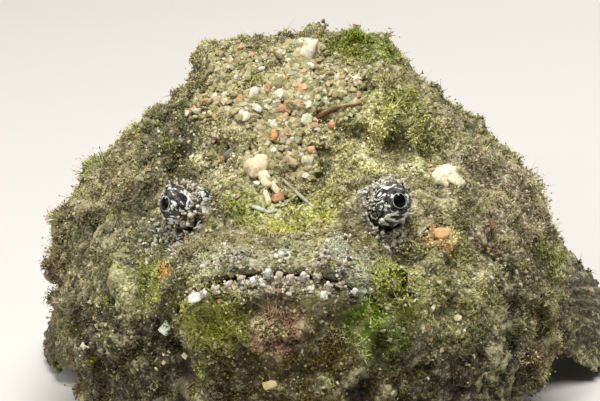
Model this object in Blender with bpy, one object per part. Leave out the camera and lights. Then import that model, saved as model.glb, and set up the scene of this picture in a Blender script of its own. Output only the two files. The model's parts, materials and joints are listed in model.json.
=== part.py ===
"""A stonefish resting on the floor, life size.

Metres, +Z up. The fish faces -Y and its left side is +X. The origin is on the
floor, in the middle of the flat of the belly. Every node is one closed solid,
and neighbours keep a gap of CLEARANCE.
"""

import math
import random
from collections import namedtuple

import bmesh
import bpy
from mathutils import Matrix, Vector, noise
from mathutils.bvhtree import BVHTree

CLEARANCE = 0.0004
ROOT_DEPTH = 0.002
SEED = 12

# The body is a row of rounded cross-sections from the chin to the tail stem.
Station = namedtuple("Station", "y half_width back flank belly back_power")
BODY = (
    Station(-0.146, 0.035, 0.071, 0.046, 0.000, 2.4),
    Station(-0.114, 0.048, 0.075, 0.038, -0.003, 2.3),
    Station(-0.074, 0.061, 0.098, 0.038, -0.004, 1.80),
    Station(-0.040, 0.058, 0.097, 0.038, -0.004, 1.75),
    Station(0.004, 0.043, 0.081, 0.036, -0.003, 1.7),
    Station(0.044, 0.027, 0.060, 0.031, 0.002, 1.9),
    Station(0.080, 0.014, 0.046, 0.028, 0.0105, 2.0),
    Station(0.106, 0.0085, 0.0380, 0.0265, 0.0150, 2.0),
)
CHIN_Y = BODY[0].y
CHIN_Z = 0.052
STEM_END_Y = BODY[-1].y
BROW_ROUNDING = 0.017
CHIN_ROUNDING = 0.034
CHEEK_ROUNDING = 0.036
BELLY_POWER = 2.6
TAIL_BEND_START = 0.010
TAIL_BEND = 0.014
TAIL_BEND_LENGTH = 0.140

# Cuts between the head, the trunk and the tail stem.
GILL_Y = -0.060
GILL_LAG = 0.018
STEM_Y = 0.056

# Points round a section, sections, and how much closer these are at the front. The head
# and the trunk have as many points each, so that their faces at the gill slits match.
BODY_GRIDS = {"head": (38, 22, 1.5), "trunk": (38, 14, 1.0), "tail_stem": (20, 7, 1.0)}

# Uneven skin: (waves a metre, height) of each layer.
LUMPS = ((50.0, 0.0030), (115.0, 0.0014))

# Swellings and hollows of the skin; a paired one is on both sides.
Swelling = namedtuple("Swelling", "x y z radius height paired")
SWELLINGS = {
    "hollow between the eyes": Swelling(0.0, -0.113, 0.074, 0.0135, -0.0070, False),
    "hollow behind the eye": Swelling(0.0215, -0.097, 0.078, 0.0085, -0.0065, True),
    "pit in front of the eye": Swelling(0.0155, -0.129, 0.067, 0.0045, -0.0028, True),
    "pit below the eye": Swelling(0.032, -0.123, 0.056, 0.0060, -0.0030, True),
    "saddle": Swelling(0.0, -0.099, 0.080, 0.0130, -0.0035, False),
    "crown": Swelling(0.0, -0.080, 0.090, 0.0160, 0.0030, False),
    "brow": Swelling(0.026, -0.110, 0.074, 0.0085, 0.0030, True),
    "snout": Swelling(0.0, -0.131, 0.069, 0.0080, 0.0020, False),
    "upper lip": Swelling(0.0135, -0.134, 0.070, 0.0085, 0.0020, True),
    "cheek": Swelling(0.041, -0.108, 0.038, 0.0150, 0.0035, True),
    "gill cover": Swelling(0.055, -0.066, 0.044, 0.0170, 0.0030, True),
    "upper gill cover": Swelling(0.047, -0.070, 0.068, 0.0100, 0.0035, True),
    "shoulder": Swelling(0.043, -0.038, 0.068, 0.0140, 0.0030, True),
    "nape": Swelling(0.021, -0.060, 0.096, 0.0140, 0.0045, True),
    "dip beside the nape": Swelling(0.041, -0.056, 0.083, 0.0110, -0.0050, True),
    "top of the nape": Swelling(0.009, -0.060, 0.103, 0.0120, 0.0025, False),
    "rear flank": Swelling(0.040, -0.002, 0.055, 0.0160, 0.0025, True),
}

# The mouth is an arch seen from the front; the lower jaw fills it.
MOUTH_HALF_WIDTH = 0.0225
MOUTH_CORNER_Z = 0.0570
MOUTH_TOP_Z = 0.0668
MOUTH_ARCH_POWER = 2.2
MOUTH_CORNER_POWER = 1.6
MOUTH_STEPS = 24
JAW_BACK_Y = -0.1215
LIP_RADIUS = 0.0020
UPPER_LIP_HEIGHT = 0.0032
LOWER_LIP_HEIGHT = 0.0020
LIP_SIDES = 6
LIP_STEPS = 18
UPPER_LIP_SHARE = 1.0
LOWER_LIP_SHARE = 0.94
FRINGE_COUNT = 15
FRINGE_LENGTH = 0.0034
FRINGE_RADIUS = 0.0010
FRINGE_TIP = 0.0005
UPPER_FRINGE_LEAN = Vector((0, -0.3, -0.35))
LOWER_FRINGE_LEAN = Vector((0, -0.3, 0.3))

EYE_CENTRE = Vector((0.0217, -0.1190, 0.0750))
EYE_RADIUS = 0.0050
EYE_OUTWARD = math.radians(44)
EYE_UPWARD = math.radians(14)
MOUND_RADIUS = 0.0074
MOUND_SET_BACK = 0.0034
MOUND_DROP = 0.0022
LID_RADIUS = 0.0054
LID_THICKNESS = 0.0013
LID_SET_BACK = 0.0004
NOSTRIL = Vector((0.0095, -0.1320, 0.0680))
NOSTRIL_RADIUS = 0.0015
NOSTRIL_HOLE = 0.0007
NOSTRIL_LENGTH = 0.0040

# Warts: how many each node has, and their sizes.
WARTS = {"head": 30, "trunk": 26, "tail_stem": 6, "lower_jaw": 5}
WART_RADII = (0.0026, 0.0056)
WART_RISES = (0.38, 0.62)
WART_SPACING = 2.3
WART_SIDES = 7
WART_TRIES = 4000
WART_MARGIN = 0.0065
CLEAR_OF_EYE = 0.0130
CLEAR_OF_NOSTRIL = 0.0060
CLEAR_OF_FIN = 0.0095
CLEAR_OF_FLOOR = 0.0110
CLEAR_OF_CUT = 0.0085

# Blunt skin-covered spines along the edge of the cheek, from low to high.
CHEEK_SPINES = 3
CHEEK_SPINE_START_Y = -0.094
CHEEK_SPINE_STEP_Y = 0.006
CHEEK_SPINE_ANGLES = (math.radians(8), math.radians(22))
CHEEK_SPINE_RADII = (0.0032, 0.0010)
CHEEK_SPINE_LENGTH = 0.0055

# A fin's THICKNESS is that of its rays, of its membrane and of its edge.

# Pectoral fins: a broad fan whose root runs down the flank behind the gill slit.
PECTORAL_RAYS = 17
PECTORAL_TOP = Vector((0.050, -0.032, 0.052))
PECTORAL_FOOT = Vector((0.047, -0.060, 0.009))
PECTORAL_SINK = 0.012
PECTORAL_LENGTHS = (0.050, 0.064, 0.034)
PECTORAL_TIPS_Z = (0.034, 0.0085, 0.0028)
PECTORAL_SWEEP = (math.radians(84), math.radians(36))
PECTORAL_ARCH = 0.007
PECTORAL_THICKNESS = (0.0036, 0.0018, 0.0010)

# Pelvic fins: small fans that lie beside the belly, under the pectorals.
PELVIC_RAYS = 6
PELVIC_FRONT = Vector((0.030, -0.024, 0.0060))
PELVIC_REAR = Vector((0.024, 0.010, 0.0060))
PELVIC_LENGTHS = (0.020, 0.030, 0.024)
PELVIC_SWEEP = (math.radians(35), math.radians(78))
PELVIC_SINK = 0.006
PELVIC_TIP_Z = 0.0022
PELVIC_THICKNESS = (0.0032, 0.0018, 0.0012)

# Dorsal fin: thirteen spines in thick notched skin, then a soft part.
DORSAL_START_Y = -0.044
DORSAL_SPLIT_Y = 0.046
DORSAL_END_Y = 0.088
DORSAL_SPINES = 13
DORSAL_RAYS = 6
SPINE_HEIGHTS = (0.0055, 0.0145, 0.012)
SPINE_LEAN = (math.radians(68), math.radians(56))
SPINE_NOTCH = 0.45
SOFT_HEIGHTS = (0.015, 0.021, 0.014)
SOFT_LEAN = (math.radians(60), math.radians(70))
DORSAL_SINK = 0.006
SPINE_THICKNESS = (0.0046, 0.0026, 0.0012)
SOFT_GAP = 0.0032
SOFT_NOTCH = 0.88
SOFT_THICKNESS = (0.0030, 0.0016, 0.0010)

# Anal fin: folded back along the underside of the tail stem, clear of the floor.
ANAL_START_Y = 0.050
ANAL_END_Y = 0.088
ANAL_RAYS = 8
ANAL_LENGTHS = (0.012, 0.020, 0.015)
ANAL_THICKNESS = (0.0028, 0.0016, 0.0010)

# Tail fin: a rounded fan that stands upright.
TAIL_RAYS = 12
TAIL_ROOT_HALF_HEIGHT = 0.0100
TAIL_LENGTH = 0.046
TAIL_SPREAD = math.radians(17)
TAIL_THICKNESS = (0.0036, 0.0018, 0.0010)

SKIN = {"colour": (0.31, 0.27, 0.18), "roughness": 0.85}
FIN_SKIN = {"colour": (0.26, 0.22, 0.15), "roughness": 0.85}
EYE_SURFACE = {"colour": (0.16, 0.16, 0.15), "roughness": 0.15}


def along(field, y):
    """One of the body's sizes at y, on a smooth curve through the stations."""
    last = len(BODY) - 1
    i = next((k for k in range(last) if y < BODY[k + 1].y), last - 1)
    near = [getattr(BODY[min(max(k, 0), last)], field) for k in (i - 1, i, i + 1, i + 2)]
    places = [BODY[min(max(k, 0), last)].y for k in (i - 1, i, i + 1, i + 2)]
    span = places[2] - places[1]
    t = min(max((y - places[1]) / span, 0.0), 1.0)
    slope_a = (near[2] - near[0]) / (places[2] - places[0]) * span
    slope_b = (near[3] - near[1]) / (places[3] - places[1]) * span
    return (
        near[1] * (2 * t**3 - 3 * t**2 + 1)
        + slope_a * (t**3 - 2 * t**2 + t)
        + near[2] * (3 * t**2 - 2 * t**3)
        + slope_b * (t**3 - t**2)
    )


def bluntness(y, length):
    """A quarter ellipse that closes the face over this length behind the chin."""
    share = min(max((y - CHIN_Y) / length, 0.0), 1.0)
    return math.sqrt(1 - (1 - share) ** 2)


def midline_x(y):
    """Sideways place of the backbone: straight, then curving towards the fish's left."""
    share = max(0.0, y - TAIL_BEND_START) / TAIL_BEND_LENGTH
    return TAIL_BEND * share**2


def section_point(y, angle):
    """The plain body's skin at y, angle round the section from +X over the back."""
    chin = bluntness(y, CHIN_ROUNDING)
    half_width = along("half_width", y) * bluntness(y, CHEEK_ROUNDING)
    flank = CHIN_Z + (along("flank", y) - CHIN_Z) * chin
    back = CHIN_Z + (along("back", y) - CHIN_Z) * bluntness(y, BROW_ROUNDING)
    belly = CHIN_Z + (along("belly", y) - CHIN_Z) * chin
    cosine, sine = math.cos(angle), math.sin(angle)
    power = along("back_power", y) if sine > 0 else BELLY_POWER
    reach = back - flank if sine > 0 else flank - belly
    x = half_width * math.copysign(abs(cosine) ** (2 / power), cosine)
    z = flank + reach * math.copysign(abs(sine) ** (2 / power), sine)
    return Vector((midline_x(y) + x, y, z))


def outward(y, angle):
    """The plain body's outward direction."""
    step_y, step_angle = 0.0008, 0.02
    y = max(y, CHIN_Y + 2 * step_y)
    lengthwise = section_point(y + step_y, angle) - section_point(y - step_y, angle)
    around = section_point(y, angle + step_angle) - section_point(y, angle - step_angle)
    return lengthwise.cross(around).normalized()


def relief(point):
    """How far the skin stands out of the plain body there."""
    height = sum(size * noise.noise(point * waves) for waves, size in LUMPS)
    for swelling in SWELLINGS.values():
        for side in (1, -1) if swelling.paired else (1,):
            centre = Vector((side * swelling.x, swelling.y, swelling.z))
            share = (point - centre).length_squared / swelling.radius**2
            height += swelling.height * math.exp(-share)
    return height


def skin_point(y, angle, grown=0.0):
    """The finished skin at y and angle, or a surface that lies outside it by grown."""
    plain = section_point(y, angle)
    normal = outward(y, angle)
    point = plain + normal * (relief(plain) + grown)
    if grown == 0.0:
        point.z = max(point.z, 0.0)
    return point


def gill_y(angle):
    """The gill slit's y: it bows back at the middle of each side."""
    side = abs(math.cos(angle)) ** 1.5
    return GILL_Y + GILL_LAG * side


def angles_round(count, share_above):
    """Angles round a section, closer together over the back."""
    above = round(count * share_above)
    over = [math.pi * k / above for k in range(above)]
    under = [math.pi * (1 + k / (count - above)) for k in range(count - above)]
    return over + under


def object_of(name, mesh_builder, finish):
    """A named object from a bmesh, with its own material."""
    mesh = bpy.data.meshes.new(name)
    mesh_builder.to_mesh(mesh)
    mesh_builder.free()
    made = bpy.data.objects.new(name, mesh)
    bpy.context.scene.collection.objects.link(made)
    if finish:
        material = bpy.data.materials.new(name)
        material.use_nodes = True
        shader = material.node_tree.nodes["Principled BSDF"]
        shader.inputs["Base Color"].default_value = (*finish["colour"], 1.0)
        shader.inputs["Roughness"].default_value = finish["roughness"]
        shader.inputs["Metallic"].default_value = 0.0
        mesh.materials.append(material)
    return made


def loft(name, rings, front, back, finish=None):
    """A closed solid through rings of points, ended by one point at each end."""
    made = bmesh.new()
    loops = [[made.verts.new(point) for point in ring] for ring in rings]
    tip, tail = made.verts.new(front), made.verts.new(back)
    count = len(rings[0])
    for k in range(count):
        after = (k + 1) % count
        made.faces.new((tip, loops[0][after], loops[0][k]))
        made.faces.new((tail, loops[-1][k], loops[-1][after]))
        for near, far in zip(loops, loops[1:]):
            made.faces.new((near[k], near[after], far[after], far[k]))
    bmesh.ops.recalc_face_normals(made, faces=made.faces[:])
    bmesh.ops.triangulate(made, faces=made.faces[:])
    return object_of(name, made, finish)


def body_rings(starts, ends, count, rings, crowding=1.0, grown=0.0):
    """Rings of skin from starts(angle) to ends(angle), closer at the front if crowding > 1."""
    angles = angles_round(count, 0.68)
    made = []
    for k in range(rings):
        share = ((k + 1) / rings) ** crowding if crowding != 1.0 else k / (rings - 1)
        ring = []
        for angle in angles:
            begin, end = starts(angle), ends(angle)
            ring.append(skin_point(begin + (end - begin) * share, angle, grown))
        made.append(ring)
    return made


def body_solid(node, grown=0.0):
    """One length of the body; a grown one is a cutter that laps over its neighbours."""
    count, rings, crowding = BODY_GRIDS[node]
    lap = -CLEARANCE if grown else CLEARANCE
    starts = {
        "head": lambda a: CHIN_Y,
        "trunk": lambda a: gill_y(a) + lap,
        "tail_stem": lambda a: STEM_Y + lap,
    }[node]
    ends = {
        "head": gill_y,
        "trunk": lambda a: STEM_Y,
        "tail_stem": lambda a: STEM_END_Y + grown,
    }[node]
    skin = body_rings(starts, ends, count, rings, crowding, grown)
    front_y, back_y = starts(math.pi / 2), ends(math.pi / 2)
    front = Vector((midline_x(front_y), front_y, along("flank", front_y)))
    if node == "head":
        front = Vector((0, CHIN_Y - grown, CHIN_Z))
    back = Vector((midline_x(back_y), back_y, along("flank", back_y)))
    if not grown:
        return loft(node, skin, front, back, SKIN)
    cutter = loft(f"{node}_cutter", skin, front, back)
    cutter.hide_render = True
    cutter.display_type = "WIRE"
    return cutter


def combine(target, pieces, operation):
    """Joins the pieces to the target, or cuts them from it, and removes them."""
    group = bpy.data.collections.new("pieces")
    bpy.context.scene.collection.children.link(group)
    for piece in pieces:
        bpy.context.scene.collection.objects.unlink(piece)
        group.objects.link(piece)
    modifier = target.modifiers.new("combine", "BOOLEAN")
    modifier.operand_type = "COLLECTION"
    modifier.collection = group
    modifier.operation = operation
    modifier.solver = "MANIFOLD"
    bpy.context.view_layer.update()
    graph = bpy.context.evaluated_depsgraph_get()
    mesh = bpy.data.meshes.new_from_object(target.evaluated_get(graph))
    target.modifiers.clear()
    target.data = mesh
    for piece in pieces:
        bpy.data.objects.remove(piece)
    bpy.data.collections.remove(group)
    keep_largest(target)
    return target


def keep_largest(target):
    """Leaves the object only its largest closed surface."""
    made = bmesh.new()
    made.from_mesh(target.data)
    waiting = set(made.faces)
    surfaces = []
    while waiting:
        reached = [waiting.pop()]
        for face in reached:
            for edge in face.edges:
                for other in edge.link_faces:
                    if other in waiting:
                        waiting.remove(other)
                        reached.append(other)
        surfaces.append(reached)
    surfaces.sort(key=lambda faces: sum(face.calc_area() for face in faces))
    for faces in surfaces[:-1]:
        bmesh.ops.delete(made, geom=faces, context="FACES")
    made.to_mesh(target.data)
    made.free()


def frame_at(point, direction):
    """A matrix whose Z runs along direction, placed at point."""
    turn = Vector(direction).to_track_quat("Z", "Y").to_matrix().to_4x4()
    return Matrix.Translation(point) @ turn


def cone(point, direction, base, tip, length, sides, sunk=ROOT_DEPTH):
    """A closed cone whose root is sunk below point."""
    made = bmesh.new()
    middle = Vector(point) + Vector(direction) * ((length - sunk) / 2)
    bmesh.ops.create_cone(
        made, cap_ends=True, segments=sides, radius1=base, radius2=tip,
        depth=length + sunk, matrix=frame_at(middle, direction),
    )
    return object_of("cone", made, None)


def ball(point, radius, rings=8, sides=12, direction=(0, 0, 1), squash=1.0):
    """A closed ball, flattened along direction by squash."""
    made = bmesh.new()
    shape = frame_at(point, direction) @ Matrix.Diagonal((1, 1, squash, 1))
    bmesh.ops.create_uvsphere(
        made, u_segments=sides, v_segments=rings, radius=radius, matrix=shape
    )
    return object_of("ball", made, None)


def wart(point, direction, radius, rise, turn):
    """A low rounded cone with its root sunk in the skin."""
    made = bmesh.new()
    place = frame_at(point, direction)
    levels = ((-ROOT_DEPTH, 1.05), (rise * 0.45, 0.84), (rise * 0.88, 0.48))
    loops = []
    for height, share in levels:
        ring = []
        for k in range(WART_SIDES):
            angle = turn + 2 * math.pi * k / WART_SIDES
            flat = Vector((math.cos(angle), math.sin(angle), 0)) * radius * share
            ring.append(made.verts.new(place @ (flat + Vector((0, 0, height)))))
        loops.append(ring)
    top = made.verts.new(place @ Vector((0, 0, rise)))
    made.faces.new(reversed(loops[0]))
    for k in range(WART_SIDES):
        after = (k + 1) % WART_SIDES
        for low, high in zip(loops, loops[1:]):
            made.faces.new((low[k], low[after], high[after], high[k]))
        made.faces.new((loops[-1][k], loops[-1][after], top))
    bmesh.ops.recalc_face_normals(made, faces=made.faces[:])
    return object_of("wart", made, None)


def eye_axis(side):
    """Where the pupil looks."""
    flat = math.cos(EYE_UPWARD)
    return Vector((
        side * math.sin(EYE_OUTWARD) * flat,
        -math.cos(EYE_OUTWARD) * flat,
        math.sin(EYE_UPWARD),
    ))


def eye_centre(side):
    return Vector((side * EYE_CENTRE.x, EYE_CENTRE.y, EYE_CENTRE.z))


def mouth_height(x, grown=0.0):
    """Height of the mouth's edge in the front view: an arch with rounded corners."""
    share = min(abs(x) / (MOUTH_HALF_WIDTH + grown), 1.0)
    rise = MOUTH_TOP_Z - MOUTH_CORNER_Z + grown
    return MOUTH_CORNER_Z + rise * (1 - share**MOUTH_ARCH_POWER) ** (1 / MOUTH_CORNER_POWER)


def mouth_outline(grown=0.0):
    """The arch of the mouth in the front view, from the fish's right to its left."""
    points = []
    for k in range(MOUTH_STEPS + 1):
        x = -(MOUTH_HALF_WIDTH + grown) * math.cos(math.pi * k / MOUTH_STEPS)
        points.append((x, mouth_height(x, grown)))
    return points


def jaw_block(grown=0.0):
    """The arch of the mouth run back into the head: what it holds is the lower jaw."""
    floor_z = -0.010
    outline = [(-MOUTH_HALF_WIDTH - grown, floor_z), *mouth_outline(grown)]
    outline.append((MOUTH_HALF_WIDTH + grown, floor_z))
    made = bmesh.new()
    front_y, back_y = CHIN_Y - 0.01, JAW_BACK_Y + grown
    front = made.faces.new([made.verts.new((x, front_y, z)) for x, z in outline])
    swept = bmesh.ops.extrude_face_region(made, geom=[front])
    moved = [v for v in swept["geom"] if isinstance(v, bmesh.types.BMVert)]
    bmesh.ops.translate(made, vec=(0, back_y - front_y, 0), verts=moved)
    bmesh.ops.recalc_face_normals(made, faces=made.faces[:])
    bmesh.ops.triangulate(made, faces=made.faces[:])
    return object_of("jaw_block", made, None)


def surface_of(target):
    made = bmesh.new()
    made.from_mesh(target.data)
    tree = BVHTree.FromBMesh(made)
    made.free()
    return tree


def lip_route(face, offset, end_share):
    """Points on the face along the mouth's edge, offset inwards or outwards from it."""
    points = []
    for k in range(LIP_STEPS + 1):
        reach = (MOUTH_HALF_WIDTH + offset) * end_share
        x = -reach * math.cos(math.pi * k / LIP_STEPS)
        start = Vector((x, CHIN_Y - 0.02, mouth_height(x, offset)))
        hit, normal, _, _ = face.ray_cast(start, Vector((0, 1, 0)))
        points.append((hit, normal))
    return points


def lip(route, height):
    """A tapered roll of skin along the route, its height measured up the face."""
    rings = []
    last = len(route) - 1
    for k, (point, normal) in enumerate(route):
        ahead = (route[min(k + 1, last)][0] - route[max(k - 1, 0)][0]).normalized()
        across = ahead.cross(normal).normalized()
        up = across.cross(ahead).normalized()
        taper = 0.35 + 0.65 * math.sin(math.pi * k / last) ** 0.5
        ring = []
        for s in range(LIP_SIDES):
            angle = 2 * math.pi * s / LIP_SIDES
            offset = across * math.cos(angle) * height + up * math.sin(angle) * LIP_RADIUS
            ring.append(point + offset * taper)
        rings.append(ring)
    return loft("lip", rings, route[0][0], route[-1][0])


def fringe(route, lean, rng):
    """Fleshy tips along a lip, standing forwards and a little away from the mouth."""
    made = []
    last = len(route) - 1
    for k in range(FRINGE_COUNT):
        place = (k + 0.5 + rng.uniform(-0.2, 0.2)) / FRINGE_COUNT * last
        low = int(place)
        point = route[low][0].lerp(route[min(low + 1, last)][0], place - low)
        normal = route[low][1]
        direction = (normal + lean * rng.uniform(0.5, 1.0)).normalized()
        size = rng.uniform(0.75, 1.15)
        length = (LIP_RADIUS + FRINGE_LENGTH) * size
        made.append(cone(point, direction, FRINGE_RADIUS * size, FRINGE_TIP, length, 5, 0.0005))
    return made


def near_segment(point, start, end):
    """Distance from a point to a straight stretch."""
    way = end - start
    share = min(max((point - start).dot(way) / way.length_squared, 0.0), 1.0)
    return (point - start - way * share).length


def nostril_place(side):
    return Vector((side * NOSTRIL.x, NOSTRIL.y, NOSTRIL.z))


def clear_of_mouth(node, x, point):
    """Whether a wart keeps off the lips, on the head or inside the jaw's outline."""
    edge = mouth_height(min(x, 0.9 * MOUTH_HALF_WIDTH))
    if node == "lower_jaw":
        inside = x < MOUTH_HALF_WIDTH - WART_MARGIN and point.z < edge - 2 * WART_MARGIN
        return inside and point.y < JAW_BACK_Y - WART_MARGIN
    beside = x > MOUTH_HALF_WIDTH + WART_MARGIN or point.z > edge + 2 * WART_MARGIN
    return beside or point.y > JAW_BACK_Y + WART_MARGIN


def clear_of_fins(x, point):
    """Whether a wart keeps off the roots of the fins."""
    if x < CLEAR_OF_FIN and point.y > DORSAL_START_Y - CLEAR_OF_FIN:
        if point.z > along("flank", point.y):
            return False
    if point.y > ANAL_START_Y - 2 * CLEAR_OF_FIN and point.z < along("flank", point.y):
        return False
    on_left = Vector((x, point.y, point.z))
    return near_segment(on_left, PECTORAL_TOP, PECTORAL_FOOT) > CLEAR_OF_FIN


def keeps_clear(node, point):
    """Whether a wart may stand here: off the eyes, mouth, fin roots and floor."""
    if point.z < CLEAR_OF_FLOOR:
        return False
    x = abs(point.x - midline_x(point.y))
    if node in ("head", "lower_jaw"):
        for side in (1, -1):
            if (point - eye_centre(side)).length < CLEAR_OF_EYE:
                return False
            if (point - nostril_place(side)).length < CLEAR_OF_NOSTRIL:
                return False
        if not clear_of_mouth(node, x, point):
            return False
    return node == "lower_jaw" or clear_of_fins(x, point)


def warts_for(node, start, end, rng):
    """Warts spread over one node between two places along the body."""
    chosen, made = [], []
    size = 0.7 if node == "tail_stem" else 1.0
    for _ in range(WART_TRIES):
        angle = rng.uniform(-0.20, math.pi + 0.20)
        y = rng.uniform(start(angle) + CLEAR_OF_CUT, end(angle) - CLEAR_OF_CUT)
        radius = rng.uniform(*WART_RADII) * size
        point = skin_point(y, angle)
        if not keeps_clear(node, point):
            continue
        reach = WART_SPACING / 2
        if any((point - other).length < (radius + near) * reach for other, near in chosen):
            continue
        chosen.append((point, radius))
        rise = radius * rng.uniform(*WART_RISES)
        direction = (outward(y, angle) + Vector((0, 0, 0.15))).normalized()
        made.append(wart(point, direction, radius, rise, rng.uniform(0, 1)))
        if len(made) == WARTS[node]:
            break
    return made


def face_parts(face, rng):
    """What stands out of the head: lips, fringe, eye mounds, lids, nostrils, spines, warts."""
    route = lip_route(face, UPPER_LIP_HEIGHT + 2 * CLEARANCE, UPPER_LIP_SHARE)
    parts = [lip(route, UPPER_LIP_HEIGHT), *fringe(route, UPPER_FRINGE_LEAN, rng)]
    for side in (1, -1):
        mound = eye_centre(side) - eye_axis(side) * MOUND_SET_BACK
        mound.z -= MOUND_DROP
        parts += [ball(mound, MOUND_RADIUS), eyelid(side)]
        root, normal, _, _ = face.find_nearest(nostril_place(side))
        height = NOSTRIL_LENGTH * 0.6
        parts.append(cone(root, normal, NOSTRIL_RADIUS, NOSTRIL_RADIUS * 0.8, height, 8))
        parts += cheek_spines(side)
    return parts + warts_for("head", lambda a: CHIN_Y, gill_y, rng)


def face_hollows(face):
    """What is cut out of the head: the eye sockets and the nostril holes."""
    cuts = []
    for side in (1, -1):
        socket = EYE_RADIUS + CLEARANCE
        cuts.append(ball(eye_centre(side), socket, 10, 18, eye_axis(side)))
        root, normal, _, _ = face.find_nearest(nostril_place(side))
        top = root + normal * NOSTRIL_LENGTH
        cuts.append(cone(top, normal, NOSTRIL_HOLE, NOSTRIL_HOLE, 0.001, 6, NOSTRIL_LENGTH))
    return cuts


def build_head_and_jaw(rng):
    head = body_solid("head")
    face = surface_of(head)
    jaw = head.copy()
    jaw.data = head.data.copy()
    jaw.name = "lower_jaw"
    bpy.context.scene.collection.objects.link(jaw)
    combine(head, [jaw_block(CLEARANCE)], "DIFFERENCE")
    combine(jaw, [jaw_block()], "INTERSECT")
    combine(head, face_parts(face, rng), "UNION")
    combine(head, face_hollows(face), "DIFFERENCE")
    route = lip_route(face, -LOWER_LIP_HEIGHT - CLEARANCE, LOWER_LIP_SHARE)
    parts = [lip(route, LOWER_LIP_HEIGHT), *fringe(route, LOWER_FRINGE_LEAN, rng)]
    parts += warts_for("lower_jaw", lambda a: CHIN_Y, lambda a: JAW_BACK_Y, rng)
    combine(jaw, parts, "UNION")


def eyelid(side):
    """A ring of thick skin round the eyeball."""
    place = frame_at(eye_centre(side), eye_axis(side))
    steps, sides = 16, 5
    rings = []
    made = bmesh.new()
    for k in range(steps):
        angle = 2 * math.pi * k / steps
        ring = []
        for s in range(sides):
            turn = 2 * math.pi * s / sides
            reach = LID_RADIUS + LID_THICKNESS * math.cos(turn)
            height = LID_THICKNESS * math.sin(turn) - LID_SET_BACK
            ring.append(made.verts.new(place @ Vector((
                reach * math.cos(angle), reach * math.sin(angle), height
            ))))
        rings.append(ring)
    for k in range(steps):
        for s in range(sides):
            near, far = rings[k], rings[(k + 1) % steps]
            made.faces.new((near[s], far[s], far[(s + 1) % sides], near[(s + 1) % sides]))
    bmesh.ops.recalc_face_normals(made, faces=made.faces[:])
    return object_of("eyelid", made, None)


def cheek_spines(side):
    """Blunt skin-covered spines along the edge of the cheek."""
    made = []
    first, step = CHEEK_SPINE_ANGLES
    base, tip = CHEEK_SPINE_RADII
    for k in range(CHEEK_SPINES):
        angle = first + step * k
        if side < 0:
            angle = math.pi - angle
        y = CHEEK_SPINE_START_Y + CHEEK_SPINE_STEP_Y * k
        point = skin_point(y, angle)
        direction = (outward(y, angle) + Vector((0, 0.7, 0))).normalized()
        made.append(cone(point, direction, base, tip, CHEEK_SPINE_LENGTH, 7))
    return made


def build_eye(name, side):
    made = bmesh.new()
    place = frame_at(eye_centre(side), eye_axis(side))
    bmesh.ops.create_uvsphere(
        made, u_segments=16, v_segments=10, radius=EYE_RADIUS, matrix=place
    )
    return object_of(name, made, EYE_SURFACE)


def plate(name, centre, half_thickness, columns, rows, finish):
    """A closed plate on a grid: both faces are split alike, with a rim all round."""
    made = bmesh.new()
    step = 0.01
    fronts, backs = [], []
    for i in range(columns + 1):
        u = i / columns
        front, back = [], []
        for j in range(rows + 1):
            v = j / rows
            lengthwise = centre(u, v + step, i) - centre(u, v - step, i)
            across = centre(u + step, v, i) - centre(u - step, v, i)
            normal = across.cross(lengthwise).normalized()
            middle, half = centre(u, v, i), half_thickness(i, v)
            front.append(made.verts.new(middle + normal * half))
            back.append(made.verts.new(middle - normal * half))
        fronts.append(front)
        backs.append(back)

    def quad(a, b, c, d):
        made.faces.new((a, b, c))
        made.faces.new((a, c, d))

    for i in range(columns):
        for j in range(rows):
            for skin in (fronts, backs):
                quad(skin[i][j], skin[i + 1][j], skin[i + 1][j + 1], skin[i][j + 1])
        for j in (0, rows):
            quad(fronts[i][j], fronts[i + 1][j], backs[i + 1][j], backs[i][j])
    for j in range(rows):
        for i in (0, columns):
            quad(fronts[i][j], fronts[i][j + 1], backs[i][j + 1], backs[i][j])
    bmesh.ops.recalc_face_normals(made, faces=made.faces[:])
    return object_of(name, made, finish)


def is_ray(column):
    """Rays stand on the odd columns of a fin, and membrane lies between them."""
    return column % 2 == 1


def ray_thickness(ray, membrane, tip):
    """Half thickness of a fin: ridges on the rays, thinning towards the edge."""

    def half(column, v):
        full = ray if is_ray(column) else membrane
        return (full + (tip - full) * min(max(v, 0.0), 1.0)) / 2

    return half


def bent(values, share):
    """A smooth value that is values[0], [1] and [2] at shares 0, a half and 1."""
    first, middle, last = values
    return (
        first * (1 - share) * (1 - 2 * share)
        + middle * 4 * share * (1 - share)
        + last * share * (2 * share - 1)
    )


def pectoral_centre(side):
    def centre(u, v, column):
        root = PECTORAL_TOP.lerp(PECTORAL_FOOT, u)
        sweep = PECTORAL_SWEEP[0] + (PECTORAL_SWEEP[1] - PECTORAL_SWEEP[0]) * u
        way = Vector((math.cos(sweep), math.sin(sweep), 0))
        reach = bent(PECTORAL_LENGTHS, u) * (1.0 if is_ray(column) else 0.94)
        tip_z = bent(PECTORAL_TIPS_Z, u)
        run = v * (reach + PECTORAL_SINK) - PECTORAL_SINK
        share = run / reach
        arch = PECTORAL_ARCH * math.sin(math.pi * min(max(share, 0.0), 1.0))
        z = root.z + (tip_z - root.z) * share + arch
        point = root + way * run
        return Vector((side * point.x, point.y, z))

    return centre


def build_pectoral(name, side):
    half = ray_thickness(*PECTORAL_THICKNESS)
    return plate(name, pectoral_centre(side), half, 2 * PECTORAL_RAYS, 7, FIN_SKIN)


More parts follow.
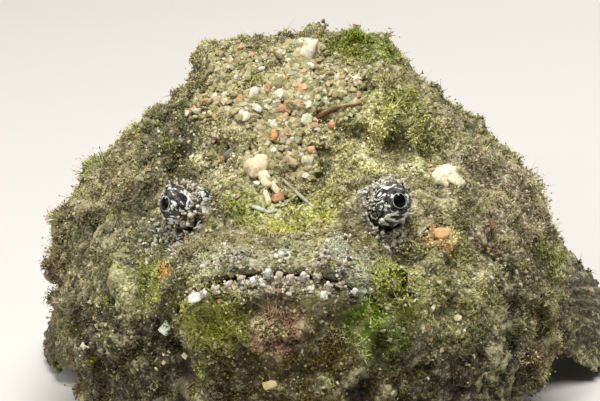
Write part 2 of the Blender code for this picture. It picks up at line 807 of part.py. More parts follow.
def pelvic_centre(side):
    def centre(u, v, column):
        root = PELVIC_FRONT.lerp(PELVIC_REAR, u)
        sweep = PELVIC_SWEEP[0] + (PELVIC_SWEEP[1] - PELVIC_SWEEP[0]) * u
        way = Vector((math.cos(sweep), math.sin(sweep), 0))
        reach = bent(PELVIC_LENGTHS, u) * (1.0 if is_ray(column) else 0.90)
        run = v * (reach + PELVIC_SINK) - PELVIC_SINK
        point = root + way * run
        z = root.z + (PELVIC_TIP_Z - root.z) * run / reach
        return Vector((side * point.x, point.y, z))

    return centre


def build_pelvic(name, side):
    half = ray_thickness(*PELVIC_THICKNESS)
    return plate(name, pelvic_centre(side), half, 2 * PELVIC_RAYS, 5, FIN_SKIN)


def dorsal_centre(start, end, heights, lean, notch):
    def centre(u, v, column):
        y = start + (end - start) * u
        back = along("back", y) + relief(section_point(y, math.pi / 2))
        tilt = lean[0] + (lean[1] - lean[0]) * u
        reach = bent(heights, u) * (1.0 if is_ray(column) else notch)
        run = v * (reach + DORSAL_SINK) - DORSAL_SINK
        tip_y = y + run * math.sin(tilt)
        return Vector((midline_x(tip_y), tip_y, back + run * math.cos(tilt)))

    return centre


def build_dorsal_fin():
    shape = dorsal_centre(DORSAL_START_Y, DORSAL_SPLIT_Y, SPINE_HEIGHTS, SPINE_LEAN, SPINE_NOTCH)
    half = ray_thickness(*SPINE_THICKNESS)
    spiny = plate("dorsal_fin_spines", shape, half, 2 * DORSAL_SPINES, 4, FIN_SKIN)
    start = DORSAL_SPLIT_Y + SOFT_GAP
    shape = dorsal_centre(start, DORSAL_END_Y, SOFT_HEIGHTS, SOFT_LEAN, SOFT_NOTCH)
    half = ray_thickness(*SOFT_THICKNESS)
    soft = plate("dorsal_fin_soft", shape, half, 2 * DORSAL_RAYS, 4, FIN_SKIN)
    return [spiny, soft]


def anal_centre(u, v, column):
    y = ANAL_START_Y + (ANAL_END_Y - ANAL_START_Y) * u
    belly = along("belly", y)
    reach = bent(ANAL_LENGTHS, u) * (1.0 if is_ray(column) else 0.86)
    run = v * (reach + DORSAL_SINK) - DORSAL_SINK
    x = midline_x(y) - run * 0.62
    drop = 0.75 * (belly - 0.0032) * min(1.0, max(run, -0.004) / reach)
    return Vector((x, y + run * 0.74, belly + 0.001 - drop))


def build_anal_fin():
    half = ray_thickness(*ANAL_THICKNESS)
    return plate("anal_fin", anal_centre, half, 2 * ANAL_RAYS, 4, FIN_SKIN)


def tail_centre(u, v, column):
    share = 2 * u - 1
    angle = TAIL_SPREAD * share
    reach = TAIL_LENGTH * (1 - 0.10 * share**2) * (1.0 if is_ray(column) else 0.94)
    run = v * (reach + DORSAL_SINK) - DORSAL_SINK
    y = STEM_END_Y + run * math.cos(angle)
    z = along("flank", STEM_END_Y) + TAIL_ROOT_HALF_HEIGHT * share
    z += max(run, 0) * math.sin(angle)
    return Vector((midline_x(y), y, z))


def build_tail_fin():
    half = ray_thickness(*TAIL_THICKNESS)
    return plate("tail_fin", tail_centre, half, 2 * TAIL_RAYS, 6, FIN_SKIN)


def build_fins():
    fins = [build_anal_fin(), build_tail_fin(), *build_dorsal_fin()]
    for word, side in (("left", 1), ("right", -1)):
        fins.append(build_pectoral(f"pectoral_fin_{word}", side))
        fins.append(build_pelvic(f"pelvic_fin_{word}", side))
    for fin in fins:
        combine(fin, [body_solid(node, CLEARANCE) for node in BODY_GRIDS], "DIFFERENCE")


def main():
    for old in list(bpy.data.objects):
        bpy.data.objects.remove(old)
    rng = random.Random(SEED)
    build_head_and_jaw(rng)
    trunk = body_solid("trunk")
    combine(trunk, warts_for("trunk", gill_y, lambda a: STEM_Y, rng), "UNION")
    stem = body_solid("tail_stem")
    combine(stem, warts_for("tail_stem", lambda a: STEM_Y, lambda a: STEM_END_Y, rng), "UNION")
    build_eye("eye_left", 1)
    build_eye("eye_right", -1)
    build_fins()


main()
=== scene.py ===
import json
import math

import bmesh
import bpy
import numpy as np
from mathutils import Matrix, Quaternion, Vector, noise
from mathutils.bvhtree import BVHTree

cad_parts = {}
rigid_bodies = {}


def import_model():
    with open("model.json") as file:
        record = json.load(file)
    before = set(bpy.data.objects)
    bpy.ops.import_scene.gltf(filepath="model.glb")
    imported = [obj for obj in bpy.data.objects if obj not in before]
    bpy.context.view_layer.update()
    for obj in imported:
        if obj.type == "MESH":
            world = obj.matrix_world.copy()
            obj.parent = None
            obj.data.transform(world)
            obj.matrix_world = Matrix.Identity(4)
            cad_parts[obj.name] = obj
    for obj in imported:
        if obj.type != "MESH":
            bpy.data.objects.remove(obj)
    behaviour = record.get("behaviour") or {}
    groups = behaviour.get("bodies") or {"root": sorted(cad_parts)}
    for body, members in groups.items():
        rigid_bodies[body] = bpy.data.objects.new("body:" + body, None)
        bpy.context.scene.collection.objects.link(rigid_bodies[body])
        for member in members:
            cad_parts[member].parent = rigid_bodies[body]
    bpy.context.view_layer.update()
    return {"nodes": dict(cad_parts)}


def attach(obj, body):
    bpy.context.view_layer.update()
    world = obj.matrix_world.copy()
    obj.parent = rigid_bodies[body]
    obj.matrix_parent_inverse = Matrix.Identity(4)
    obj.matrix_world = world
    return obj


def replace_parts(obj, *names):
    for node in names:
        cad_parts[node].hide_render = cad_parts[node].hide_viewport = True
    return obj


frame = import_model()
print("frame loaded:", len(frame["nodes"]), "solids")

bodyNodes = ["head", "lower_jaw", "trunk", "tail_stem"]
finNodes = [name for name in sorted(frame["nodes"]) if "fin" in name]
rng = np.random.default_rng(21)  # one fixed seed, so each run gives the same model


# camera, as the fish was photographed: close, from the front and a little above

picture = {"width": 600, "height": 401}  # pixels of the photograph, in which places on the fish are given

view = {
    "aim": (0.0, -0.1190, 0.0768),  # between the eyes
    "azimuth": 6.0,
    "elevation": 17.0,
    "roll": -2.4,
    "distance": 0.40,
    "widthAtEyes": 0.132,  # metres across the picture at the eyes
    "slide": 15.5,  # pixels
    "nearest": 0.01,
}


def makeCamera():
    azimuth, elevation = math.radians(view["azimuth"]), math.radians(view["elevation"])
    back = Vector((math.sin(azimuth) * math.cos(elevation),
                   -math.cos(azimuth) * math.cos(elevation), math.sin(elevation)))
    data = bpy.data.cameras.new("camera")
    data.lens = data.sensor_width * view["distance"] / view["widthAtEyes"]
    data.shift_x = view["slide"] / picture["width"]
    data.clip_start = view["nearest"]
    made = bpy.data.objects.new("camera", data)
    bpy.context.scene.collection.objects.link(made)
    made.location = Vector(view["aim"]) + back * view["distance"]
    made.rotation_mode = "QUATERNION"
    turn = Quaternion((0, 0, 1), math.radians(view["roll"]))
    made.rotation_quaternion = (-back).to_track_quat("-Z", "Y") @ turn
    bpy.context.scene.camera = made
    return made


camera = makeCamera()


def rayThrough(px, py):
    # start and direction of the line of sight through a place in the picture
    data, wide = camera.data, picture["width"]
    across = (px - wide / 2) / wide + data.shift_x
    up = (picture["height"] / 2 - py) / wide + data.shift_y
    local = Vector((across * data.sensor_width, up * data.sensor_width, -data.lens)).normalized()
    return camera.location.copy(), camera.rotation_quaternion @ local


# small helpers for meshes and arrays

def linkNew(name, data):
    made = bpy.data.objects.new(name, data)
    bpy.context.scene.collection.objects.link(made)
    return made


def addPiece(name, mesh, material=None):
    if material:
        mesh.materials.append(material)
    made = linkNew(name, mesh)
    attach(made, "root")
    print("made:", name, len(mesh.polygons), "faces")
    return made


def meshFromArrays(name, points, triangles, smooth=True):
    points, count = points.reshape(-1, 3), len(triangles)
    mesh = bpy.data.meshes.new(name)
    mesh.vertices.add(len(points))
    mesh.vertices.foreach_set("co", np.ascontiguousarray(points, np.float32).ravel())
    mesh.loops.add(3 * count)
    mesh.loops.foreach_set("vertex_index", np.ascontiguousarray(triangles, np.int32).ravel())
    mesh.polygons.add(count)
    mesh.polygons.foreach_set("loop_start", np.arange(0, 3 * count, 3, dtype=np.int32))
    mesh.polygons.foreach_set("use_smooth", np.full(count, smooth))
    mesh.update(calc_edges=True)
    return mesh


def repeated(faces, perPiece, count):
    # the triangles of many pieces that have the same shape
    return (np.array(faces)[None] + perPiece * np.arange(count)[:, None, None]).reshape(-1, 3)


def arrayOf(items, key, width=3, kind=np.float32):
    # one value of every item of a mesh, flat
    out = np.empty(width * len(items), kind)
    items.foreach_get(key, out)
    return out


def pointsOf(mesh):
    return arrayOf(mesh.vertices, "co").reshape(-1, 3).astype(float)


def normalsOf(mesh):
    return arrayOf(mesh.vertices, "normal").reshape(-1, 3).astype(float)


def movePoints(mesh, points):
    mesh.vertices.foreach_set("co", points.astype(np.float32).ravel())
    mesh.update()


def setFloat(mesh, name, values):
    attribute = mesh.attributes.new(name, "FLOAT", "POINT")
    attribute.data.foreach_set("value", np.ascontiguousarray(values, np.float32))


def treeOf(mesh):
    made = bmesh.new()
    made.from_mesh(mesh)
    tree = BVHTree.FromBMesh(made)
    made.free()
    return tree


def unit(vectors):
    return vectors / np.maximum(np.linalg.norm(vectors, axis=1, keepdims=True), 1e-9)


def awayFrom(points, place):
    return np.linalg.norm(points - np.array(place), axis=1)


def smoothStep(values, low, high):
    share = np.clip((values - low) / (high - low), 0, 1)
    return share * share * (3 - 2 * share)


def noiseAt(points, waves, seed=0.0):
    shift = Vector((seed, seed * 1.7, seed * 2.3))
    return np.array([noise.noise(Vector(p) * waves + shift) for p in points])


def patchiness(points, waves, seed, middle, swing, least, most):
    # a cloudy weight over the skin
    return np.clip(middle + swing * noiseAt(points, waves, seed), least, most)


def between(limits, count=None, power=1.0):
    # one random value or many, more of them small where the power is high
    low, high = limits
    return low + (high - low) * rng.random(count) ** power


def ringAt(side, other, k, sides):
    angle = 2 * math.pi * k / sides
    return side * math.cos(angle) + other * math.sin(angle)


# skin: one closed surface over head, jaw, trunk, tail and fins

skinSizes = {
    "voxel": 0.00105,
    "swell": 0.00035,  # closes the thin cuts between the solids
    "sunk": 0.0010,  # depth of the coat on the body
    "sunkOnFins": 0.0002,
    "smoothing": 3,
    "fineFrontOf": -0.098,  # the face, in front of the gills, gets smaller faces
    "fineAbove": 0.012,
    # gap that is still on a fin, then start, width and end of the fade from body to fin
    "finFade": (0.0020, 0.0008, 0.0035, 0.0060),
    "lumps": ((55.0, 0.0022), (120.0, 0.0019)),  # waves to a metre, height
    "lumpShade": 0.35,
    # cells to a metre, height, painted shade in the creases between the knobs
    "knobs": ((170.0, 0.0027, 0.8), (430.0, 0.0013, 0.8), (1000.0, 0.0005, 0.4)),
    "knobsOnFins": 0.25,
    "calmed": 0.6,  # how much lower the knobs are by the eyes and the lips
    "crumbs": (900.0, 0.00018),
    "lowest": 0.00001,  # above the floor
    "creaseFrom": 0.62,
    "creaseGain": 1.3,
    "lipCrease": 0.7,  # share of the creases' shade that the lips lose
    "hollowShade": 170.0,
    "shadedHollow": 0.0070,  # wider ones stay as light as their surroundings
    "riseFull": 0.2,  # share of the radius that has the full height
    # hollows and humps of the face: place in the picture, radius, height
    "rises": (
        ((165, 118), 0.011, 0.0016), ((408, 108), 0.009, 0.0022), ((362, 44), 0.006, 0.0016),
        ((176, 156), 0.0050, -0.0032), ((361, 138), 0.0044, -0.0030), ((368, 80), 0.0036, -0.0022),
        ((397, 146), 0.0046, -0.0032), ((442, 142), 0.0080, -0.0046), ((456, 108), 0.0300, -0.0085),
        ((212, 236), 0.0020, -0.0018), ((246, 225), 0.0034, -0.0014), ((408, 252), 0.0038, -0.0020),
        ((150, 268), 0.009, 0.0014), ((435, 272), 0.009, 0.0012), ((222, 175), 0.0040, -0.0012),
        ((300, 236), 0.0060, 0.0010), ((336, 200), 0.0035, -0.0010), ((130, 210), 0.0060, -0.0020),
        ((470, 220), 0.0060, -0.0018),
    ),
}

finRidges = {
    "spacing": 0.0022,  # half way along a fin
    "height": 0.0006,
    "lowered": 0.6,  # keeps the ridges' tops inside the fins' solids
    "shade": 0.24,
    "shadeFrom": 0.4,
    "rootShare": 0.15,  # of a fin's points, the nearest to the body
    "fanFrom": 0.25,  # how far behind the root the ridges meet
    "margin": 0.002,
}

mouth = {
    "halfWidth": 0.0225,
    "cornerZ": 0.0572,
    "topZ": 0.0676,
    "steps": 81,
    "archPower": 2.2,
    "cornerPower": 1.6,
    "depth": 0.0019,
    "width": 0.00058,
    "cleftDepth": 0.0036,
    "cleftWidth": 0.0023,
    "clefts": (  # (x, z) places down each side of the chin
        ((0.0212, 0.050), (0.0160, 0.036), (0.0118, 0.004)),
        ((-0.0225, 0.049), (-0.0218, 0.030), (-0.0203, 0.004)),
    ),
    "cleftShade": 0.75,
    "frontY": -0.2,  # well in front of the face
    "backY": -0.1200,
    "foldFade": 0.004,
    "areaFade": (0.007, 0.011),  # distances from the mouth line where the lips' area ends
    "areaDepth": 0.006,
    "smoothing": 120,  # rounds over the lips, before they are formed
    "upperLip": (0.0026, 0.0014, 0.0011),  # distance from the mouth line, width, height
    "lowerLip": (0.0024, 0.0012, 0.0011),
    "pastCorners": 0.003,
    "wrinkles": (0.0055, 0.0022, 0.00035, 900.0),  # distance, width, height, waves
    "wrinkleSlant": 0.6,
    "wrinkleWander": (160.0, 31.0, 2.5),  # waves, seed, strength
}

eyes = {
    "centre": (0.0228, -0.1190, 0.0758),
    "radius": 0.0050,
    "segments": (96, 72),
    "pupil": 0.00158,
    "ring": 0.00004,
    "ringWander": 0.00012,
    "notch": (0.0004, 0.0005),  # width and depth of the painted highlight notch in the pupil's top
    "dome": 1.3,  # of the pupil's radius
    "domeRise": 0.03,
    "ballBumps": ((420, 0.055), (1200, 0.030)),  # waves to a metre, height as a share of the radius
    "pupilSeenAt": {1: (400, 200.5), -1: (164, 203.5)},  # in the picture, by side
    "openAngles": (60.0, 78.0),  # where the lids begin and end, from the middle of the opening
    "lid": 0.0005,
    "lidFades": (0.10, 0.45),  # radians, at its inner and outer edge
    "lidReach": (0.0066, 0.0088),
    "edgeFade": 0.05,
    "openReach": 0.010,
    "openDepth": 0.90,  # of the ball's radius
    "opensForward": 0.9,  # how far the opening turns from the pupil to the front
    "front": (0.35, -1.0, 0.50),
    "bareReach": (0.0060, 0.0082),  # where the skin round a ball has no coat
    "turfReach": (0.0058, 0.0072),  # where the turf begins
    "pupilClear": 1.5,  # of the pupil's radius, without any growth
}


def eyeCentre(side):
    x, y, z = eyes["centre"]
    return Vector((side * x, y, z))


def eyeDistance(points):
    # to the nearer eye's middle
    return np.minimum(*(awayFrom(points, eyeCentre(side)) for side in (1, -1)))


def onBall(side, px, py):
    # where the line of sight meets a ball, or comes nearest to it, and whether it meets it
    start, way = rayThrough(px, py)
    away = start - eyeCentre(side)
    half = away.dot(way)
    inside = half ** 2 - away.length_squared + eyes["radius"] ** 2
    return start + way * (-half - math.sqrt(max(inside, 0.0))), inside > 0


def pupilAxis(side):
    return (onBall(side, *eyes["pupilSeenAt"][side])[0] - eyeCentre(side)).normalized()


def openingAxis(side):
    x, y, z = eyes["front"]
    return (pupilAxis(side) + eyes["opensForward"] * Vector((side * x, y, z))).normalized()


def mouthHeight(x):
    share = np.minimum(np.abs(x) / mouth["halfWidth"], 1.0)
    rise = mouth["topZ"] - mouth["cornerZ"]
    return mouth["cornerZ"] + rise * (1 - share ** mouth["archPower"]) ** (1 / mouth["cornerPower"])


def mouthLine():
    x = -mouth["halfWidth"] * np.cos(np.linspace(0, math.pi, mouth["steps"]))
    return np.stack([x, mouthHeight(x)], axis=1)


def distanceToLine(flat, line):
    # shortest distance from each (x, z) place to a bent line
    best = np.full(len(flat), 1.0)
    for start, end in zip(line, line[1:]):
        way = end - start
        share = np.clip(((flat - start) @ way) / max(way @ way, 1e-12), 0, 1)
        best = np.minimum(best, np.linalg.norm(flat - start - share[:, None] * way, axis=1))
    return best


def joinedCopy(names, swell):
    # plain copy of some solids in one mesh, swollen a little
    made = bmesh.new()
    for name in names:
        made.from_mesh(frame["nodes"][name].data)
    bmesh.ops.remove_doubles(made, verts=made.verts[:], dist=0.000001)
    made.normal_update()
    for vert in made.verts:
        vert.co += vert.normal * swell
    mesh = bpy.data.meshes.new("copy")
    made.to_mesh(mesh)
    made.free()
    return mesh


def remeshed(mesh, voxel):
    holder = linkNew("holder", mesh)
    modifier = holder.modifiers.new("remesh", "REMESH")
    modifier.mode = "VOXEL"
    modifier.voxel_size = voxel
    bpy.context.view_layer.update()
    graph = bpy.context.evaluated_depsgraph_get()
    done = bpy.data.meshes.new_from_object(holder.evaluated_get(graph))
    bpy.data.objects.remove(holder)
    return done


def smoothed(mesh, rounds, share=0.5):
    edges = arrayOf(mesh.edges, "vertices", 2, np.int32)
    a, b = edges[0::2], edges[1::2]
    points = pointsOf(mesh)
    count = np.bincount(np.concatenate([a, b]), minlength=len(points))[:, None]
    for _ in range(rounds):
        total = np.zeros_like(points)
        for axis in range(3):
            total[:, axis] = np.bincount(a, points[b, axis], len(points))
            total[:, axis] += np.bincount(b, points[a, axis], len(points))
        points += share * (total / np.maximum(count, 1) - points)
    movePoints(mesh, points)


def subdivideFace(mesh):
    # finer skin where the fish is seen closest
    made = bmesh.new()
    made.from_mesh(mesh)
    faces = [f for f in made.faces if f.calc_center_median().y < skinSizes["fineFrontOf"]
             and f.calc_center_median().z > skinSizes["fineAbove"]]
    edges = sorted({e for f in faces for e in f.edges}, key=lambda edge: edge.index)
    bmesh.ops.subdivide_edges(made, edges=edges, cuts=1, use_grid_fill=True)
    bmesh.ops.triangulate(made, faces=made.faces[:])
    made.to_mesh(mesh)
    made.free()


def finShare(points, finTree, bodyTree):
    # 0 on the body, 1 on a fin away from it
    gap, start, width, end = skinSizes["finFade"]
    share = np.zeros(len(points))
    for k, point in enumerate(points):
        if finTree.find_nearest(Vector(point), gap)[0] is None:
            continue
        body = bodyTree.find_nearest(Vector(point), end)
        away = body[3] if body[0] is not None else end
        share[k] = min(max((away - start) / width, 0.0), 1.0)
    return share


def finRays(points, bodyTree):
    # ridges that fan out from the root of each soft fin, -1 to 1
    ridge = np.zeros(len(points))
    margin = finRidges["margin"]
    for name in finNodes:
        if "spines" in name:
            continue
        own = pointsOf(frame["nodes"][name].data)
        middle = own.mean(axis=0)
        along, across = np.linalg.svd(own - middle, full_matrices=False)[2][:2]
        gaps = np.array([bodyTree.find_nearest(Vector(p))[3] for p in own])
        root = own[gaps <= np.quantile(gaps, finRidges["rootShare"])].mean(axis=0)
        away = points - (root + (root - middle) * finRidges["fanFrom"])
        near = np.all((points > own.min(axis=0) - margin) & (points < own.max(axis=0) + margin), axis=1)
        count = 2 * math.pi * np.linalg.norm(middle - root) / finRidges["spacing"]
        angle = np.arctan2(away @ across, away @ along)
        ridge[near] = np.cos(angle * round(count))[near]
    return ridge


def knobsAt(points, cells):
    # rounded knobs with creases between them, about -0.5 to 0.5
    return np.array([0.5 - min(noise.voronoi(Vector(p) * cells)[0][0], 1.0) ** 1.5 for p in points])


def faceFolds(points):
    # how far each place is in the mouth line and in the clefts beside the chin, 0 to 1
    front = 1 - smoothStep(points[:, 1], mouth["backY"] - mouth["foldFade"], mouth["backY"])
    flat = points[:, [0, 2]]
    groove = np.exp(-(distanceToLine(flat, mouthLine()) / mouth["width"]) ** 2) * front
    cleft = np.zeros(len(points))
    for places in mouth["clefts"]:
        away = distanceToLine(flat, np.array(places))
        cleft = np.maximum(cleft, np.exp(-(away / mouth["cleftWidth"]) ** 2))
    return groove, cleft * front


def mouthArea(points):
    # 1 round the lips, fading to 0
    share = 1 - smoothStep(distanceToLine(points[:, [0, 2]], mouthLine()), *mouth["areaFade"])
    return share * (1 - smoothStep(points[:, 1], mouth["backY"] - mouth["areaDepth"], mouth["backY"]))


def lipRelief(points):
    # the two lips and the slanting wrinkles above the upper one
    gap = distanceToLine(points[:, [0, 2]], mouthLine())
    above = points[:, 2] > mouthHeight(points[:, 0])
    above &= np.abs(points[:, 0]) < mouth["halfWidth"] + mouth["pastCorners"]
    height = np.zeros(len(points))
    for side, key in ((above, "upperLip"), (~above, "lowerLip")):
        middle, width, size = mouth[key]
        height += side * size * np.exp(-((gap - middle) / width) ** 2)
    middle, width, size, waves = mouth["wrinkles"]
    wander, seed, strength = mouth["wrinkleWander"]
    slant = (points[:, 2] - mouth["wrinkleSlant"] * np.abs(points[:, 0])) * waves
    slant = slant + strength * noiseAt(points, wander, seed)
    height += above * size * np.sin(slant) * np.exp(-((gap - middle) / width) ** 2)
    return height * mouthArea(points)


def openEyes(points):
    # lids: a thin edge lies on each ball, and inside their opening the skin is drawn back
    wide, closed = (math.radians(a) for a in eyes["openAngles"])
    inner, outer = eyes["lidFades"]
    for side in (1, -1):
        away = points - np.array(eyeCentre(side))
        reach = np.maximum(np.linalg.norm(away, axis=1), 1e-9)
        turned = np.arccos(np.clip(away @ np.array(openingAxis(side)) / reach, -1, 1))
        lid = smoothStep(turned, wide, wide + inner) * (1 - smoothStep(turned, closed, closed + outer))
        lid *= 1 - smoothStep(reach, *eyes["lidReach"])
        wanted = reach + lid * (eyes["radius"] + eyes["lid"] - reach)
        opened = 1 - smoothStep(turned, wide - eyes["edgeFade"], wide + eyes["edgeFade"])
        opened = opened * (reach < eyes["openReach"])
        wanted = wanted + opened * (np.minimum(wanted, eyes["radius"] * eyes["openDepth"]) - wanted)
        points += away * (wanted / reach - 1)[:, None]


def nearPixel(points, tree, px, py, radius, full):
    # 1 up to a share of the radius round the place that shows at a pixel, fading to 0
    start, way = rayThrough(px, py)
    away = awayFrom(points, tree.ray_cast(start, way)[0])
    return 1 - smoothStep(away, radius * full, radius)


def makeSkin():
    mesh = remeshed(joinedCopy(bodyNodes + finNodes, skinSizes["swell"]), skinSizes["voxel"])
    smoothed(mesh, skinSizes["smoothing"])
    subdivideFace(mesh)
    smoothed(mesh, 1)
    smoothed(mesh, mouth["smoothing"], 0.5 * mouthArea(pointsOf(mesh))[:, None])
    firstTree = treeOf(mesh)
    points, normals = pointsOf(mesh), normalsOf(mesh)
    bodyTree = treeOf(joinedCopy(bodyNodes, 0.0))
    onFin = finShare(points, treeOf(joinedCopy(finNodes, 0.0)), bodyTree)
    rays = finRays(points, bodyTree) * onFin
    onBody = 1 - onFin
    nearEye = 1 - smoothStep(eyeDistance(points), *eyes["bareReach"])
    height = -skinSizes["swell"] - skinSizes["sunk"] * onBody - skinSizes["sunkOnFins"] * onFin
    height += finRidges["height"] * (rays - finRidges["lowered"] * onFin)
    # crease shading: painted shade, high in creases, hollows and between fin ridges, and below zero, for
    # painted highlight, on the tops of lumps and ridges
    creaseShading = -finRidges["shade"] * (rays - finRidges["shadeFrom"] * onFin)
    for k, (waves, size) in enumerate(skinSizes["lumps"]):
        lump = noiseAt(points, waves, k)
        height += size * lump * onBody
        creaseShading -= skinSizes["lumpShade"] * lump
    for (px, py), radius, rise in skinSizes["rises"]:
        share = nearPixel(points, firstTree, px, py, radius, skinSizes["riseFull"])
        height += rise * share
        if radius < skinSizes["shadedHollow"]:
            creaseShading += skinSizes["hollowShade"] * max(-rise, 0) * share
    lips = mouthArea(points)
    for cells, size, shade in skinSizes["knobs"]:
        knob = knobsAt(points, cells)
        share = skinSizes["knobsOnFins"] + (1 - skinSizes["knobsOnFins"]) * onBody
        height += size * knob * share * (1 - skinSizes["calmed"] * np.maximum(nearEye, lips))
        creaseShading += shade * (0.5 - knob)
    waves, size = skinSizes["crumbs"]
    height += size * noiseAt(points, waves, 5.0)
    height += skinSizes["sunk"] * nearEye  # no coat over the lids
    groove, cleft = faceFolds(points)
    forward = lipRelief(points) - mouth["depth"] * groove - mouth["cleftDepth"] * cleft
    points += normals * height[:, None]
    points[:, 1] -= forward
    openEyes(points)
    points[:, 2] = np.maximum(points[:, 2], skinSizes["lowest"])
    movePoints(mesh, points)
    setFloat(mesh, "mouthShade", np.maximum(groove, mouth["cleftShade"] * cleft))
    setFloat(mesh, "lipSkin", lips)
    creaseShading = np.clip((creaseShading - skinSizes["creaseFrom"]) * skinSizes["creaseGain"], -0.5, 1.0)
    creaseShading = creaseShading * (1 - skinSizes["lipCrease"] * lips)
    setFloat(mesh, "creaseShading", creaseShading)
    setFloat(mesh, "marbled", marbledShare(points, nearEye, firstTree))
    mesh.polygons.foreach_set("use_smooth", np.ones(len(mesh.polygons), bool))
    return addPiece("skin", mesh), onFin, groove, cleft, creaseShading


marbledSpots = (  # the dark and white mottle round the eyes: place in the picture, radius
    ((170, 236), 0.0046), ((184, 214), 0.0052), ((158, 222), 0.0036), ((378, 226), 0.0046),
    ((398, 232), 0.0042), ((384, 178), 0.0040), ((184, 184), 0.0036),
)
marbledFull = 0.6  # share of the radius that is fully marbled


def marbledShare(points, nearEye, tree):
    share = nearEye.copy()
    for (px, py), radius in marbledSpots:
        share = np.maximum(share, nearPixel(points, tree, px, py, radius, marbledFull))
    return share


skinPiece, skinFin, skinGroove, skinCleft, skinCreaseShading = makeSkin()
ground = [treeOf(skinPiece.data)]
drawIn = {"towards": (300, 220), "step": 0.02, "tries": 40}


def spotAt(px, py):
    # the place and outward direction of what shows at a place in the picture
    middleX, middleY = drawIn["towards"]
    for tries in range(drawIn["tries"]):  # a place just past the outline is drawn in until it meets the fish
        share = 1 - drawIn["step"] * tries
        start, way = rayThrough(middleX + (px - middleX) * share, middleY + (py - middleY) * share)
        hits = [tree.ray_cast(start, way) for tree in ground]
        hits = [hit for hit in hits if hit[0] is not None]
        if hits:
            nearest = min(hits, key=lambda hit: hit[3])
            return nearest[0], nearest[1]
    raise ValueError(f"no fish near {px}, {py}")


# markings: the same colours on skin, turf and sand, by place on the fish

def rgb(red, green, blue):
    # screen colour, 0 to 255, as the linear colour that a shader takes
    out = []
    for value in (red, green, blue):
        share = value / 255
        out.append(share / 12.92 if share <= 0.04045 else ((share + 0.055) / 1.055) ** 2.4)
    return (*out, 1.0)


# each patch: place in the picture, radius in metres, colour, strength
patches = [
    # the first five, low on the chin and the lower sides, are dark partly in their own colour and partly as
    # painted shade, where less light reaches the bottom
    ((120, 340), 0.026, rgb(47, 40, 22), 0.94),
    ((480, 360), 0.030, rgb(34, 29, 16), 0.94),
    ((290, 376), 0.018, rgb(76, 61, 18), 0.92),
    ((220, 390), 0.012, rgb(62, 51, 20), 0.92),
    ((370, 390), 0.014, rgb(54, 45, 18), 0.92),
    ((110, 240), 0.018, rgb(92, 85, 62), 0.9),
    ((118, 264), 0.013, rgb(88, 86, 54), 0.88),
    ((500, 190), 0.018, rgb(154, 142, 116), 0.8),
    ((450, 285), 0.015, rgb(150, 146, 98), 0.8),
    ((185, 120), 0.014, rgb(84, 82, 54), 0.92),
    ((290, 110), 0.021, rgb(176, 166, 118), 0.8),
    ((400, 125), 0.013, rgb(170, 168, 104), 0.9),
    ((362, 46), 0.010, rgb(104, 118, 38), 0.92),
    ((250, 62), 0.010, rgb(132, 130, 84), 0.6),
    ((300, 230), 0.012, rgb(166, 166, 84), 0.88),
    ((325, 175), 0.008, rgb(158, 152, 102), 0.7),
    ((380, 158), 0.0090, rgb(214, 206, 150), 0.92),
    ((224, 166), 0.0084, rgb(198, 190, 148), 0.88),
    ((222, 264), 0.0085, rgb(166, 164, 144), 0.95),
    ((352, 262), 0.0080, rgb(154, 156, 136), 0.92),
    ((286, 256), 0.0070, rgb(148, 146, 110), 0.85),
    ((215, 312), 0.010, rgb(146, 148, 74), 0.92),
    ((262, 285), 0.0058, rgb(160, 152, 126), 0.8),
    ((314, 284), 0.0058, rgb(156, 150, 118), 0.8),
    ((246, 206), 0.0060, rgb(142, 148, 66), 0.8),
    ((398, 272), 0.0075, rgb(146, 154, 72), 0.85),
    ((158, 286), 0.0060, rgb(138, 144, 66), 0.8),
    ((140, 290), 0.008, rgb(132, 136, 72), 0.7),
    ((277, 328), 0.0060, rgb(126, 94, 76), 0.9),
    ((380, 330), 0.0085, rgb(72, 88, 8), 0.95),
    ((365, 312), 0.0052, rgb(100, 130, 10), 0.9),
    ((405, 298), 0.0070, rgb(120, 126, 56), 0.7),
    ((443, 234), 0.0042, rgb(186, 150, 96), 0.9),
    ((176, 234), 0.0018, rgb(206, 148, 84), 0.9),
    ((166, 272), 0.0030, rgb(196, 156, 104), 0.8),
    ((45, 275), 0.012, rgb(118, 94, 82), 0.75),
    ((181, 207), 0.0058, rgb(104, 104, 94), 0.95),
    ((388, 206), 0.0058, rgb(104, 104, 94), 0.95),
]

# darker towards the bottom: the flank's and belly's colours are partly the fish's own and partly painted
# shade, where less light reaches the low parts
bodyColours = {
    "back": rgb(138, 130, 94),
    "flank": rgb(106, 97, 72),
    "belly": rgb(70, 63, 46),
    "flankFrom": (0.012, 0.05),  # heights over which the shaded belly turns into the flank
    "backFrom": (0.05, 0.085),
    "wander": (90.0, 0.006),  # waves to a metre and strength of the patches' ragged outlines
    "patchEdge": (0.55, 1.25),  # shares of the radius between which a patch fades
    "saturation": 1.12,
    "gain": 1.50,
    "dusty": (0.75, 1.75),  # saturation and gain of the pale tone of a colour
    "dust": (0.25, rgb(244, 236, 200)),
}

# cloudy mottles over all; each row: waves to a metre, from and to in the noise, colour
wideMottles = {
    "strength": 0.75,
    "roughness": 0.55,
    "start": (0.0, 0.0, 0.0),
    "step": (3.1, 1.3, 0.0),
    "rows": (
        (45.0, 0.50, 0.62, rgb(92, 84, 58)),
        (60.0, 0.54, 0.66, rgb(118, 122, 66)),
        (75.0, 0.60, 0.70, rgb(132, 98, 78)),
    ),
}

smallMottles = {
    "strength": 0.45,
    "roughness": 0.6,
    "start": (0.0, 5.0, 0.0),
    "step": (2.3, 0.0, 1.1),
    "rows": (
        (150.0, 0.54, 0.66, rgb(196, 190, 146)),
        (190.0, 0.56, 0.66, rgb(142, 146, 66)),
        (230.0, 0.58, 0.68, rgb(84, 76, 50)),
    ),
}


